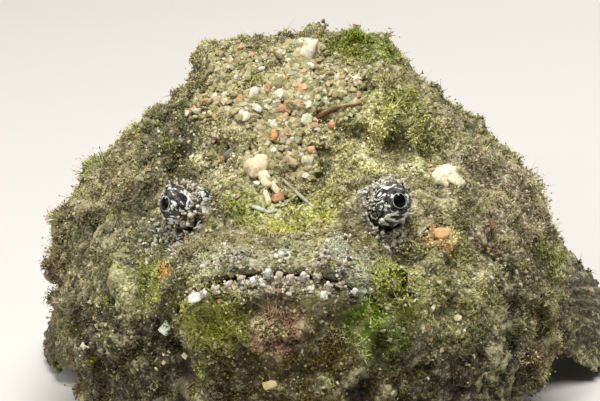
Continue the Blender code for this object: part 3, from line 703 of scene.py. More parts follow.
def newGroup(name, inputs, outputs):
    group = bpy.data.node_groups.new(name, "ShaderNodeTree")
    for label, kind, default in inputs:
        socket = group.interface.new_socket(label, in_out="INPUT", socket_type=kind)
        if default is not None:
            socket.default_value = default
    for label, kind in outputs:
        group.interface.new_socket(label, in_out="OUTPUT", socket_type=kind)
    taken, given = group.nodes.new("NodeGroupInput"), group.nodes.new("NodeGroupOutput")
    return group, taken.outputs, given.inputs


def wire(tree, value, socket):
    # another node's output is linked, and a plain value is set on the socket
    if isinstance(value, bpy.types.NodeSocket):
        tree.links.new(value, socket)
    else:
        socket.default_value = value


def addNode(tree, kind, inputs=(), **settings):
    node = tree.nodes.new(kind)
    for key, value in settings.items():
        setattr(node, key, value)
    for key, value in dict(inputs).items():
        wire(tree, value, node.inputs[key])
    return node


def mathNode(tree, operation, *values):
    return addNode(tree, "ShaderNodeMath", enumerate(values), operation=operation).outputs[0]


def vectorNode(tree, operation, first, second):
    taken = "Scale" if operation == "SCALE" else 1
    node = addNode(tree, "ShaderNodeVectorMath", {0: first, taken: second}, operation=operation)
    return node.outputs["Value" if operation == "DISTANCE" else "Vector"]


def mixColour(tree, share, first, second, blend="MIX"):
    inputs = {0: share, 6: first, 7: second}
    return addNode(tree, "ShaderNodeMix", inputs, data_type="RGBA", blend_type=blend).outputs[2]


def ranged(tree, value, low, high, to0=0.0, to1=1.0):
    limits = enumerate((value, low, high, to0, to1))
    return addNode(tree, "ShaderNodeMapRange", limits, interpolation_type="SMOOTHSTEP").outputs[0]


def tinted(tree, colour, shade, value, *limits):
    # the shade laid over a colour where a value is within its limits
    return mixColour(tree, ranged(tree, value, *limits), colour, shade)


def toned(tree, colour, saturation, gain):
    inputs = {"Saturation": saturation, "Value": gain, "Color": colour}
    return addNode(tree, "ShaderNodeHueSaturation", inputs).outputs[0]


def noiseNode(tree, place, scale, detail=3.0, rough=0.55, output="Fac", distortion=0.0):
    inputs = {"Vector": place, "Scale": scale, "Detail": detail, "Roughness": rough, "Distortion": distortion}
    return addNode(tree, "ShaderNodeTexNoise", inputs).outputs[output]


def valueOf(tree, name, output="Fac"):
    return addNode(tree, "ShaderNodeAttribute", attribute_name=name).outputs[output]


def mottled(tree, place, colour, mottles):
    for k, (waves, low, high, shade) in enumerate(mottles["rows"]):
        shift = tuple(start + k * step for start, step in zip(mottles["start"], mottles["step"]))
        cloud = noiseNode(tree, vectorNode(tree, "ADD", place, shift), waves, 4.0, mottles["roughness"])
        mask = mathNode(tree, "MULTIPLY", ranged(tree, cloud, low, high), mottles["strength"])
        colour = mixColour(tree, mask, colour, shade)
    return colour


def makeMarkings():
    waves, strength = bodyColours["wander"]
    group, taken, given = newGroup(
        "reefMarkings", [("Place", "NodeSocketVector", None), ("Wander", "NodeSocketFloat", strength)],
        [("Colour", "NodeSocketColor")])
    place = taken["Place"]
    wobble = noiseNode(group, place, waves, 2.0, output="Color")
    centred = vectorNode(group, "SUBTRACT", wobble, (0.5, 0.5, 0.5))
    moved = vectorNode(group, "ADD", place, vectorNode(group, "SCALE", centred, taken["Wander"]))
    height = addNode(group, "ShaderNodeSeparateXYZ", {0: moved}).outputs[2]
    # darker towards the bottom: own colour and painted shade
    colour = tinted(group, bodyColours["belly"], bodyColours["flank"], height, *bodyColours["flankFrom"])
    colour = tinted(group, colour, bodyColours["back"], height, *bodyColours["backFrom"])
    colour = mottled(group, place, colour, wideMottles)
    full, end = bodyColours["patchEdge"]
    for (px, py), radius, shade, strength in patches:
        away = vectorNode(group, "DISTANCE", moved, spotAt(px, py)[0])
        colour = tinted(group, colour, shade, away, radius * full, radius * end, strength, 0.0)
    colour = mottled(group, place, colour, smallMottles)
    wire(group, toned(group, colour, bodyColours["saturation"], bodyColours["gain"]), given["Colour"])
    return group


def makeDusty():
    # the dusty pale tone of a colour
    group, taken, given = newGroup(
        "dustyTone", [("Colour", "NodeSocketColor", None)], [("Colour", "NodeSocketColor")])
    share, dust = bodyColours["dust"]
    paler = toned(group, taken["Colour"], *bodyColours["dusty"])
    wire(group, mixColour(group, share, paler, dust), given["Colour"])
    return group


def useGroup(tree, group, **values):
    return addNode(tree, "ShaderNodeGroup", values, node_tree=group).outputs


flecks = {
    "wander": (700.0, 0.0011),
    "cells": (900.0, 2100.0),  # to a metre
    "pale": (0.50, 1.0),
    "dark": (0.45, 0.0, rgb(58, 50, 26)),
    # painted shade in the gaps between the crumbs: from and to in the distance from a crumb's middle,
    # strength, colour
    "edge": (0.25, 0.60, 0.4, rgb(30, 26, 14)),
    "rise": 600.0,
}


def makeSpeckle():
    # crumbs of sand and dirt caught in the growth, each with its own tone, painted shade in the gaps between
    # them, and a height for bump
    group, taken, given = newGroup(
        "dirtFlecks", [("Place", "NodeSocketVector", None), ("Colour", "NodeSocketColor", None),
                       ("Pale", "NodeSocketFloat", 0.5), ("Dark", "NodeSocketFloat", 0.5)],
        [("Colour", "NodeSocketColor"), ("Height", "NodeSocketFloat")])
    waves, strength = flecks["wander"]
    wobble = noiseNode(group, taken["Place"], waves, 2.0, output="Color")
    moved = vectorNode(group, "ADD", taken["Place"], vectorNode(group, "SCALE", wobble, strength))
    colour, height = taken["Colour"], None
    paler = useGroup(group, dusty, Colour=colour)[0]
    darkFrom, darkTo, darkColour = flecks["dark"]
    edgeFrom, edgeTo, edgeShare, gapShadeColour = flecks["edge"]
    for scale in flecks["cells"]:
        cells = addNode(group, "ShaderNodeTexVoronoi", {"Vector": moved, "Scale": scale}, feature="F1")
        tones = addNode(group, "ShaderNodeSeparateColor", {0: cells.outputs["Color"]}).outputs
        pale = mathNode(group, "MULTIPLY", ranged(group, tones[0], *flecks["pale"]), taken["Pale"])
        colour = mixColour(group, pale, colour, paler)
        dark = mathNode(group, "MULTIPLY", ranged(group, tones[1], darkFrom, darkTo), taken["Dark"])
        colour = mixColour(group, dark, colour, darkColour)
        # darker towards each crumb's edge: painted shade in the gaps between them
        away = cells.outputs["Distance"]
        edge = mathNode(group, "MULTIPLY", ranged(group, away, edgeFrom, edgeTo), edgeShare)
        colour = mixColour(group, edge, colour, gapShadeColour)
        rise = mathNode(group, "MULTIPLY", away, -flecks["rise"] / scale)
        height = rise if height is None else mathNode(group, "ADD", height, rise)
    wire(group, colour, given["Colour"])
    wire(group, height, given["Height"])
    return group


swirls = {
    "stretch": (0.42, 1.0, 1.2),
    "waves": 430.0,
    "distortion": 1.8,
    "dark": rgb(18, 17, 18),
    "grey": (rgb(78, 76, 70), 0.38, 0.50),  # colour, from and to in the noise
    "white": (rgb(206, 208, 200), 0.505, 0.545),
    "warm": (rgb(104, 74, 56), 230.0, 0.54, 0.66, 0.5),
}


def makeMarble():
    # swirling white streaks on dark, for the eyes and the skin around them
    group, taken, given = newGroup("eyeMarble", [("Place", "NodeSocketVector", None)],
                                   [("Colour", "NodeSocketColor"), ("Height", "NodeSocketFloat")])
    stretched = vectorNode(group, "MULTIPLY", taken["Place"], swirls["stretch"])
    swirl = noiseNode(group, stretched, swirls["waves"], 3.0, 0.6, distortion=swirls["distortion"])
    grey, low, high = swirls["grey"]
    colour = tinted(group, swirls["dark"], grey, swirl, low, high)
    white, low, high = swirls["white"]
    colour = tinted(group, colour, white, swirl, low, high)
    warm, waves, low, high, strength = swirls["warm"]
    cloud = ranged(group, noiseNode(group, taken["Place"], waves, 2.0), low, high)
    colour = mixColour(group, mathNode(group, "MULTIPLY", cloud, strength), colour, warm)
    wire(group, colour, given["Colour"])
    wire(group, swirl, given["Height"])
    return group


dusty = makeDusty()
markings, speckle, marble = makeMarkings(), makeSpeckle(), makeMarble()


def newMaterial(name, roughness, specular=0.3):
    material = bpy.data.materials.new(name)
    material.use_nodes = True
    tree = material.node_tree
    shader = tree.nodes["Principled BSDF"]
    shader.inputs["Roughness"].default_value = roughness
    shader.inputs["Specular IOR Level"].default_value = specular
    place = addNode(tree, "ShaderNodeTexCoord").outputs["Object"]
    return material, tree, shader, place


def addBump(tree, shader, height, distance, strength=1.0):
    bump = addNode(tree, "ShaderNodeBump", {"Distance": distance, "Strength": strength, "Height": height})
    wire(tree, bump.outputs[0], shader.inputs["Normal"])


skinLook = {
    "roughness": 0.66,
    "flecks": 0.7,  # strength of the pale and the dark ones
    "lipSmooth": 0.6,  # share of the flecks that the lips lose
    "wrinkleStretch": (0.3, 0.6, 1.0),
    "wrinkleWaves": 1500.0,
    "wrinkle": (0.52, 0.38, 0.0, 0.75),  # from and to in the value, then strength at each
    "wrinkleColour": rgb(84, 80, 58),
    # painted shade in the creases and painted highlight on the crests, by the skin's crease shading
    "creaseShading": (0.0, 0.8, 0.0, 0.54),
    "creaseShadeColour": rgb(42, 36, 19),
    "crest": (0.0, -0.35, 0.0, 0.32),
    "crestHighlightColour": rgb(214, 206, 158),
    "mouthShadeColour": rgb(16, 13, 9),
    "bump": 0.0007,
}


def skinMaterial():
    material, tree, shader, place = newMaterial("growthSkin", skinLook["roughness"])
    marks = useGroup(tree, markings, Place=place, Wander=bodyColours["wander"][1])[0]
    much = skinLook["flecks"]
    flecked, height = useGroup(tree, speckle, Place=place, Colour=marks, Pale=much, Dark=much)
    creaseShading, lips = valueOf(tree, "creaseShading"), valueOf(tree, "lipSkin")
    colour = mixColour(tree, mathNode(tree, "MULTIPLY", lips, skinLook["lipSmooth"]), flecked, marks)
    drawn = vectorNode(tree, "MULTIPLY", place, skinLook["wrinkleStretch"])
    wrinkles = noiseNode(tree, drawn, skinLook["wrinkleWaves"], 3.0, 0.6)
    lined = mathNode(tree, "MULTIPLY", lips, ranged(tree, wrinkles, *skinLook["wrinkle"]))
    colour = mixColour(tree, lined, colour, skinLook["wrinkleColour"])
    # painted shade in the creases, then painted highlight on the crests
    colour = tinted(tree, colour, skinLook["creaseShadeColour"], creaseShading, *skinLook["creaseShading"])
    colour = tinted(tree, colour, skinLook["crestHighlightColour"], creaseShading, *skinLook["crest"])
    colour = mixColour(tree, valueOf(tree, "marbled"), colour, useGroup(tree, marble, Place=place)[0])
    # painted shade, near black, in the mouth line and the clefts beside the chin
    colour = mixColour(tree, valueOf(tree, "mouthShade"), colour, skinLook["mouthShadeColour"])
    wire(tree, colour, shader.inputs["Base Color"])
    addBump(tree, shader, height, skinLook["bump"])
    return material


skinPiece.data.materials.append(skinMaterial())
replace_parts(skinPiece, *bodyNodes, *finNodes)
print("skin painted")


# eyes: dark marbled balls with a round pupil and a pale rim

eyeLook = {
    "roughness": 0.4,
    "specular": 0.12,
    "pupilGloss": (0.5, 0.2),  # roughness off and on the pupil
    "ringWaves": 700.0,
    "ringAndHighlightColour": rgb(156, 158, 148),
    "pupilColour": (0.001, 0.001, 0.0015, 1.0),
    "bump": (0.0005, 0.8),
}


def eyeMaterial():
    material, tree, shader, place = newMaterial("marbledEye", eyeLook["roughness"], eyeLook["specular"])
    x, y, z = addNode(tree, "ShaderNodeSeparateXYZ", {0: place}).outputs
    squares = [mathNode(tree, "MULTIPLY", part, part) for part in (x, y)]
    across = mathNode(tree, "SQRT", mathNode(tree, "ADD", *squares))
    colour, height = useGroup(tree, marble, Place=place)
    facing = mathNode(tree, "GREATER_THAN", z, 0.0)
    wander = mathNode(tree, "MULTIPLY", noiseNode(tree, place, eyeLook["ringWaves"], 2.0), eyes["ringWander"])
    edge = mathNode(tree, "ADD", eyes["pupil"] + eyes["ring"], wander)
    inRing = mathNode(tree, "MULTIPLY", mathNode(tree, "LESS_THAN", across, edge), facing)
    # the pale ring round the pupil; its colour also shows in the painted highlight notch
    colour = mixColour(tree, inRing, colour, eyeLook["ringAndHighlightColour"])
    # painted highlight: a pale notch cut into the top of the pupil
    notch = ranged(tree, mathNode(tree, "ABSOLUTE", x), 0.0, *eyes["notch"], 0.0)
    notch = mathNode(tree, "MULTIPLY", notch, mathNode(tree, "GREATER_THAN", y, 0.0))
    edge = mathNode(tree, "SUBTRACT", eyes["pupil"], notch)
    inPupil = mathNode(tree, "MULTIPLY", mathNode(tree, "LESS_THAN", across, edge), facing)
    colour = mixColour(tree, inPupil, colour, eyeLook["pupilColour"])
    wire(tree, colour, shader.inputs["Base Color"])
    wire(tree, ranged(tree, inPupil, 0.0, 1.0, *eyeLook["pupilGloss"]), shader.inputs["Roughness"])
    addBump(tree, shader, height, *eyeLook["bump"])
    return material


def cornerKey(face, count):
    # one number that no other face has, from the places of its corners in the list of points
    key = 0.0
    for index in sorted(vert.index for vert in face.verts):
        key = key * count + index
    return key


def makeEye(name, side, material):
    made = bmesh.new()
    around, down = eyes["segments"]
    bmesh.ops.create_uvsphere(made, u_segments=around, v_segments=down, radius=eyes["radius"])
    made.verts.index_update()
    made.faces.sort(key=lambda face: cornerKey(face, len(made.verts)))  # else in another order each run
    dome = eyes["pupil"] * eyes["dome"]
    for vert in made.verts:
        away = math.hypot(vert.co.x, vert.co.y)
        if vert.co.z > 0 and away < dome:  # a low clear dome over the pupil
            vert.co *= 1 + eyes["domeRise"] * (1 - (away / dome) ** 2)
        else:
            edge = min(max((away - dome) / dome, 0.0), 1.0) if vert.co.z > 0 else 1.0
            bumps = sum(size * noise.noise(vert.co * waves) for waves, size in eyes["ballBumps"])
            vert.co *= 1 + edge * bumps
    for face in made.faces:
        face.smooth = True
    mesh = bpy.data.meshes.new(name)
    made.to_mesh(mesh)
    made.free()
    eye = addPiece(name, mesh, material)
    axis = pupilAxis(side)
    right = Vector((0, 0, 1)).cross(axis).normalized()
    turn = Matrix((right, axis.cross(right), axis)).transposed().to_4x4()
    eye.matrix_world = Matrix.Translation(eyeCentre(side)) @ turn
    return eye


eyeFinish = eyeMaterial()
for word, side in (("left", 1), ("right", -1)):
    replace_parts(makeEye(f"eyeball_{word}", side, eyeFinish), f"eye_{word}")
print("eyes set")


# where things grow: places spread over the skin by weight

skinPoints, skinNormals = pointsOf(skinPiece.data), normalsOf(skinPiece.data)
skinPiece.data.calc_loop_triangles()
skinTriangles = arrayOf(skinPiece.data.loop_triangles, "vertices", 3, np.int32).reshape(-1, 3)
corners = skinPoints[skinTriangles]
triangleArea = 0.5 * np.linalg.norm(
    np.cross(corners[:, 1] - corners[:, 0], corners[:, 2] - corners[:, 0]), axis=1)
triangleCentre = corners.mean(axis=1)
triangleFin, triangleMouth, triangleCreaseShading = (
    values[skinTriangles].mean(axis=1) for values in (skinFin, np.maximum(skinGroove, skinCleft), skinCreaseShading))

growing = {
    "spotFade": 0.45,  # share of a spot's radius that has its full weight
    "lowest": 0.0004,  # above the floor
}

bakeMap = {
    "tailBend": (0.014, 0.010, 0.140),  # sideways, where it begins, over what length
    "bodyAxis": (0.052, 0.022, -0.146, 0.02),  # height at the face, drop to the tail, from and to
    "chinY": -0.150,
    "length": 0.40,
    "margin": 0.01,
    "share": 0.975,
    "turn": 2.4,
    "reach": 0.0014,
}


def nearSpot(points, px, py, radius):
    # 1 at the place that shows at this place in the picture, fading to 0 at the radius
    away = awayFrom(points, spotAt(px, py)[0])
    return 1 - smoothStep(away, radius * growing["spotFade"], radius)


def offEyes(points):
    return smoothStep(eyeDistance(points), *eyes["turfReach"])


def offPupils(places):
    keep = np.ones(len(places), bool)
    for side in (1, -1):
        middle = eyeCentre(side) + pupilAxis(side) * eyes["radius"]
        keep &= awayFrom(places, middle) > eyes["pupil"] * eyes["pupilClear"]
    return keep


def spread(weight, count):
    # count places over the skin, denser where weight is higher
    chance = weight * triangleArea
    chance = chance / chance.sum()
    picked = rng.choice(len(chance), count, p=chance)
    a, b = rng.random(count), rng.random(count)
    over = a + b > 1
    a[over], b[over] = 1 - a[over], 1 - b[over]
    share = np.stack([1 - a - b, a, b], axis=1)[:, :, None]
    places = (skinPoints[skinTriangles[picked]] * share).sum(axis=1)
    directions = unit((skinNormals[skinTriangles[picked]] * share).sum(axis=1))
    return places, directions, picked


def unwrapPlace(points):
    # the skin laid flat: round the body one way, from chin to tail along the skin the other
    bend, start, length = bakeMap["tailBend"]
    height, drop, front, back = bakeMap["bodyAxis"]
    x = points[:, 0] - bend * (np.maximum(points[:, 1] - start, 0) / length) ** 2
    z = points[:, 2] - (height - drop * smoothStep(points[:, 1], front, back))
    u = (np.arctan2(z, x) + math.pi / 2) % (2 * math.pi) / (2 * math.pi)
    v = np.clip((points[:, 1] - bakeMap["chinY"] + np.hypot(x, z)) / bakeMap["length"], 0, 1)
    return bakeMap["margin"] + bakeMap["share"] * np.stack([u, v], axis=1)


def giveBakeMap(mesh, roots, perPiece):
    # a small patch of the map for each part, at its root
    layer = mesh.uv_layers.new(name="OFBake")
    piece, corner = np.divmod(arrayOf(mesh.loops, "vertex_index", 1, np.int32), perPiece)
    angle = corner * bakeMap["turn"]
    reach = bakeMap["reach"] * np.sqrt((corner + 0.5) / perPiece)
    uv = unwrapPlace(roots)[piece] + np.stack([np.cos(angle), np.sin(angle)], axis=1) * reach[:, None]
    layer.data.foreach_set("uv", np.ascontiguousarray(uv, np.float32).ravel())


def addParts(name, points, faces, roots, material, smooth=True, **values):
    # a piece of the coat: many small parts of one shape, with values by part or by corner
    count, perPiece = points.shape[:2]
    mesh = meshFromArrays(name, points, repeated(faces, perPiece, count), smooth)
    for key, value in values.items():
        setFloat(mesh, key, np.broadcast_to(value, (count, perPiece)).ravel())
    giveBakeMap(mesh, roots, perPiece)
    return addPiece(name, mesh, material)


def tubeFaces(rings, sides, first=0):
    # the sides of a tube, ring after ring
    faces = []
    for row in range(first, first + (rings - 1) * sides, sides):
        for k in range(sides):
            a, b = row + k, row + (k + 1) % sides
            faces += [(a, b, b + sides), (a, b + sides, a + sides)]
    return faces


# turf: thin curled strands, three-sided, root sunk in the skin

turf = {
    "faceCount": 60000,
    "bodyCount": 28000,
    "clumpOf": 8,
    "longest": 0.0030,
    "clumpReach": 0.00075,
    "sunk": 0.0004,
    "perPiece": 19500,
    "faceWidth": 0.00018,
    "bodyWidth": 0.00028,
    "widthShare": (0.6, 1.5),
    "clumps": (300.0, 3.0, 0.55, 1.9, 0.03, 2.2),  # waves, seed, middle, swing, least, most
    "patchy": (90.0, 9.0, 0.75, 1.2, 0.25, 1.8),
    "tall": (150.0, 6.0, 1.0, 1.5, 0.4, 1.8),
    "length": (0.0006, 0.0005, 0.0004),  # shortest, more by clump, more by strand
    "tone": (0.55, 0.45),  # by clump, by strand
    "faceTo": (-0.075, -0.045),  # y over which the face's turf gives way to the body's
    "lowFace": (0.004, 0.03),
    "offFloor": (0.0012, 0.004),
    "bodyLonger": 1.4,
    "shoulders": (0.030, 0.052, 0.2),  # distance from the middle, from and to, and how much longer
    "finReach": 0.3,  # share of their reach that clumps keep on a fin
    "finLength": 0.75,
    "finFrom": (0.3, 0.5, 0.2),  # share of fin from which reach, then length, change and crumbs end
    "reach": (0.3, 1.5),  # shares of the clumps' reach, by clump
    "outward": (1.15, 0.45),  # length in the middle of a clump, and how much less at its edge
    "byEye": 0.4,  # share of the length that is left beside an eye
    "lean": (0.4, 0.9, (0.0, 0.10, 0.05)),  # by chance, out of the clump, and backward and up
    "curl": (0.5, 1.3),
    "sag": 0.5,
    "shape": (0.52, -0.22, 0.85),  # how far along is the middle, its bend, how far along is the end
    "levels": (0.6, 0.5),  # share of the width at the root and at the middle
    "crumbAt": (0.55, 0.95),  # where crumbs hang, from the middle of a strand to its end
    "fewer": {"mouth": 0.9, "bare": 0.97, "face": 0.9, "fin": 0.35, "low": 0.65, "creaseShading": 0.6},
    # 0 at a strand's root, where its material paints shade, 1 at its tip
    "tip": (0.0, 0.0, 0.0, 0.55, 0.55, 0.55, 1.0),  # by corner
    # places in the picture, radius, how much
    "bare": (((222, 264), 0.0090, 1.0), ((350, 264), 0.0070, 0.9), ((285, 262), 0.0070, 0.7),
             ((164, 234), 0.0050, 0.9), ((186, 228), 0.0040, 0.9), ((404, 226), 0.0048, 0.8),
             ((378, 230), 0.0040, 0.9)),
    "thin": (((285, 105), 0.020, 0.8), ((268, 180), 0.008, 0.9)),
    "long": (
        ((380, 330), 0.0090, 1.5), ((277, 328), 0.0060, 0.8), ((350, 40), 0.009, 0.6),
        ((402, 110), 0.012, 0.5), ((218, 310), 0.0085, 1.0), ((300, 228), 0.008, 0.8),
        ((45, 265), 0.012, 0.4),
    ),
    "crumbCount": 33000,
    "crumbPieces": 2,
    "crumbSize": (0.00013, 0.00040),
    "crumbRarer": 1.8,  # how much rarer the big ones are
}

strandFaces = [(0, 2, 1)] + tubeFaces(2, 3) + [(3 + k, 3 + (k + 1) % 3, 6) for k in range(3)]
grownTips = []


def addStrands(name, material, roots, normals, lengths, widths, lean, curl, deep, tone, onBody):
    count = len(roots)
    toMiddle, sideways, toEnd = turf["shape"]
    away = unit(normals + lean)
    side = unit(np.cross(away, rng.normal(size=(count, 3))))
    other = np.cross(away, side)
    bend = unit(rng.normal(size=(count, 3)) - turf["sag"] * normals) * (curl * lengths)[:, None]
    start = roots - normals * turf["sunk"]
    middle = roots + away * (lengths * toMiddle)[:, None] + bend * sideways
    end = roots + away * (lengths * toEnd)[:, None] + bend
    points = np.empty((count, 7, 3))
    for k in range(3):
        ring = ringAt(side, other, k, 3)
        for first, centre, share in zip((0, 3), (start, middle), turf["levels"]):
            points[:, first + k] = centre + ring * (widths * share)[:, None]
    points[:, 6] = end
    points[:, 3:, 2] = np.maximum(points[:, 3:, 2], growing["lowest"])
    # the crease shading at each root lowers a strand's tone in creases and raises it on tops: painted shade
    # and painted light
    addParts(name, points, strandFaces, roots, material,
             tone=(tone ** (1 + deep))[:, None], deep=deep[:, None], tip=turf["tip"])
    share = between(turf["crumbAt"], count)[:, None]
    grownTips.append((middle + (end - middle) * share)[onBody])


# looks of the growth: from and to in a value, then the strength of the tone at each
turfLook = {
    "wander": 0.007,
    "dusty": (0.45, 0.90, 0.0, 0.6),
    "dark": (0.28, 0.0, 0.0, 0.45),
    "darkColour": rgb(92, 84, 42),
    # painted shade down at the strands' roots
    "root": (0.6, 0.0, 0.0, 0.4),
    "rootShadeColour": rgb(64, 56, 28),
    "waves": 240.0,
    "cloud": (0.34, 0.66, 0.76, 1.24),
    # painted shade on strands rooted in creases, painted light on those rooted on tops
    "deep": (-0.4, 0.7, 1.12, 0.66),
}

crumbLook = {
    "wander": 0.007,
    "dusty": (0.35, 1.0, 0.0, 0.4),
    "dark": (0.30, 0.05, 0.0, 0.4),
    "darkColour": rgb(88, 80, 44),
}


def growthMaterial(name, look, key):
    # the markings, made dusty or dark by the value that each part has
    material, tree, shader, place = newMaterial(name, roughness=0.75, specular=0.2)
    marks = useGroup(tree, markings, Place=place, Wander=look["wander"])[0]
    value = valueOf(tree, key)
    paler = useGroup(tree, dusty, Colour=marks)[0]
    colour = tinted(tree, marks, paler, value, *look["dusty"])
    colour = tinted(tree, colour, look["darkColour"], value, *look["dark"])
    return material, tree, shader, place, colour


def turfMaterial():
    material, tree, shader, place, colour = growthMaterial("reefTurf", turfLook, "tone")
    # darker at the root: painted shade among the strands
    colour = tinted(tree, colour, turfLook["rootShadeColour"], valueOf(tree, "tip"), *turfLook["root"])
    cloud = ranged(tree, noiseNode(tree, place, turfLook["waves"], 3.0, 0.6), *turfLook["cloud"])
    # strands darker in creases and lighter on tops: painted shade and painted light
    deep = ranged(tree, valueOf(tree, "deep"), *turfLook["deep"])
    colour = toned(tree, colour, 1.0, mathNode(tree, "MULTIPLY", cloud, deep))
    wire(tree, colour, shader.inputs["Base Color"])
    return material


def crumbMaterial():
    material, tree, shader, place, colour = growthMaterial("turfCrumb", crumbLook, "pick")
    wire(tree, colour, shader.inputs["Base Color"])
    return material


def growTurf():
    centre, each, fewer = triangleCentre, turf["clumpOf"], turf["fewer"]
    clear = offEyes(centre) * (1 - fewer["mouth"] * triangleMouth)
    clear = clear * smoothStep(centre[:, 2], *turf["offFloor"])
    facing = 1 - smoothStep(centre[:, 1], *turf["faceTo"])
    low = smoothStep(centre[:, 2], *turf["lowFace"])
    faceWeight = facing * clear * low
    for (px, py), radius, much in turf["bare"] + turf["thin"]:
        faceWeight *= 1 - fewer["bare"] * much * nearSpot(centre, px, py, radius)
    bodyWeight = clear * (1 - fewer["face"] * facing) * (1 - fewer["fin"] * triangleFin)
    bodyWeight = bodyWeight * (1 - fewer["low"] + fewer["low"] * low)
    clumps = patchiness(centre, *turf["clumps"])
    patchy = patchiness(centre, *turf["patchy"]) * (1 - fewer["creaseShading"] * np.clip(triangleCreaseShading, 0, 1))
    middles, normals, chosen = (np.concatenate(pair) for pair in zip(
        spread(faceWeight * clumps * patchy, turf["faceCount"] // each),
        spread(bodyWeight * clumps * patchy, turf["bodyCount"] // each)))
    own = np.repeat(np.arange(len(middles)), each)
    count, directions, picked = len(own), normals[own], chosen[own]
    isFace = own < turf["faceCount"] // each
    out = unit(np.cross(directions, rng.normal(size=(count, 3)))) * np.sqrt(rng.random(count))[:, None]
    reach = turf["clumpReach"] * between(turf["reach"], len(middles))[own]
    onFin = triangleFin[picked]
    lessReach, lessLength, noCrumbs = turf["finFrom"]
    reach *= np.where(onFin > lessReach, turf["finReach"], 1.0)
    places = middles[own] + out * reach[:, None]
    byClump, byStrand = turf["tone"]
    tone = byClump * rng.random(len(middles))[own] + byStrand * rng.random(count)
    shortest, byClump, byStrand = turf["length"]
    lengths = shortest + byClump * rng.random(len(middles))[own] + byStrand * rng.random(count)
    inMiddle, less = turf["outward"]
    lengths *= patchiness(places, *turf["tall"]) * (inMiddle - less * np.linalg.norm(out, axis=1) ** 2)
    lengths *= np.where(isFace, 1.0, turf["bodyLonger"])
    widths = np.where(isFace, turf["faceWidth"], turf["bodyWidth"]) * between(turf["widthShare"], count)
    start, end, more = turf["shoulders"]
    lengths *= 1 + more * smoothStep(np.abs(places[:, 0]), start, end)
    for (px, py), radius, more in turf["long"]:
        lengths *= 1 + more * nearSpot(places, px, py, radius)
    lengths *= np.where(onFin > lessLength, turf["finLength"], 1.0)
    lengths *= turf["byEye"] + (1 - turf["byEye"]) * offEyes(places)
    chance, outward, always = turf["lean"]
    lean = rng.normal(size=(count, 3)) * chance + out * outward + np.array(always)
    strands = {
        "roots": places, "normals": directions, "lengths": np.minimum(lengths, turf["longest"]),
        "widths": widths, "lean": lean, "curl": between(turf["curl"], count),
        "deep": triangleCreaseShading[picked], "tone": tone, "onBody": onFin < noCrumbs,
    }
    material = turfMaterial()
    order = np.argsort(places[:, 1])
    for k, start in enumerate(range(0, count, turf["perPiece"])):
        part = order[start:start + turf["perPiece"]]
        addStrands(f"turf_{k + 1}", material, **{key: values[part] for key, values in strands.items()})


growTurf()


# sand and pebbles: caught on the crown, and crumbs in the turf

sand = {
    "ragged": (210.0, 17.0, 0.75, 1.6, 0.05, 1.6),  # waves, seed, middle, swing, least, most
    "dusty": (140.0, 12.0, 0.5, 2.0, 0.05, 2.0),
    "face": (-0.085, -0.06, 0.03, 0.065),  # y, then z, from and to
    "back": (0.03, 0.07),
    "lowerLip": 0.3,  # how much of the upper lip's frost it has
    "heapPowers": (1.3, 3),  # how strongly sand, and pebbles, keep to the middles of the heaps
    "heaps": (  # where the sand lies thick: place in the picture, radius, how much
        ((296, 48), 0.0075, 1.0), ((300, 75), 0.0095, 1.0), ((278, 95), 0.0095, 1.0),
        ((262, 118), 0.0095, 0.9), ((296, 118), 0.0080, 0.9), ((282, 145), 0.0080, 1.0),
        ((262, 165), 0.0055, 0.9), ((300, 165), 0.0050, 0.7), ((272, 192), 0.0040, 0.8),
        ((213, 92), 0.0100, 0.42), ((335, 80), 0.0080, 0.45), ((240, 62), 0.0080, 0.4),
        ((225, 150), 0.0060, 0.3), ((340, 105), 0.0060, 0.4),
    ),
    "palette": (
        (0.00, rgb(164, 156, 114)), (0.14, rgb(148, 140, 98)), (0.30, rgb(184, 174, 138)),
        (0.46, rgb(130, 124, 82)), (0.56, rgb(176, 158, 122)), (0.68, rgb(122, 120, 76)),
        (0.76, rgb(202, 198, 178)), (0.84, rgb(148, 152, 120)), (0.91, rgb(110, 98, 64)),
        (0.96, rgb(182, 142, 100)), (0.985, rgb(172, 128, 102)),
    ),
}

paleKnobs = {
    "size": (0.00024, 0.00062),
    "rarer": 1.5,
    "palette": (
        (0.00, rgb(190, 184, 164)), (0.25, rgb(156, 150, 132)), (0.43, rgb(216, 212, 194)),
        (0.58, rgb(106, 100, 84)), (0.72, rgb(176, 166, 146)), (0.86, rgb(52, 49, 42)),
    ),
    "gathered": 0.55,  # spread in a cluster, as a share of its reach
    # below and around the eyes, and by the lips: place in the picture, reach in pixels, how many
    "clusters": (
        ((166, 232), 9, 70), ((186, 226), 8, 60), ((154, 244), 6, 34), ((196, 212), 5, 24),
        ((174, 250), 7, 30), ((376, 228), 7, 50), ((400, 236), 8, 56), ((410, 214), 4, 18),
        ((388, 246), 8, 30), ((368, 212), 4, 16), ((224, 243), 5, 22), ((346, 237), 5, 26),
        ((236, 258), 7, 10), ((345, 262), 8, 22), ((365, 280), 8, 24), ((324, 256), 8, 34),
        ((200, 290), 8, 26), ((284, 258), 12, 40), ((262, 284), 9, 34), ((284, 288), 10, 44),
        ((308, 286), 9, 34), ((330, 292), 7, 20), ((240, 288), 7, 20),
    ),
}


def roundStone(cuts):
    made = bmesh.new()
    bmesh.ops.create_icosphere(made, subdivisions=cuts, radius=1.0)
    bmesh.ops.triangulate(made, faces=made.faces[:])
    made.verts.ensure_lookup_table()
    points = np.array([v.co[:] for v in made.verts])
    triangles = np.array([[v.index for v in f.verts] for f in made.faces])
    made.free()
    return points, triangles


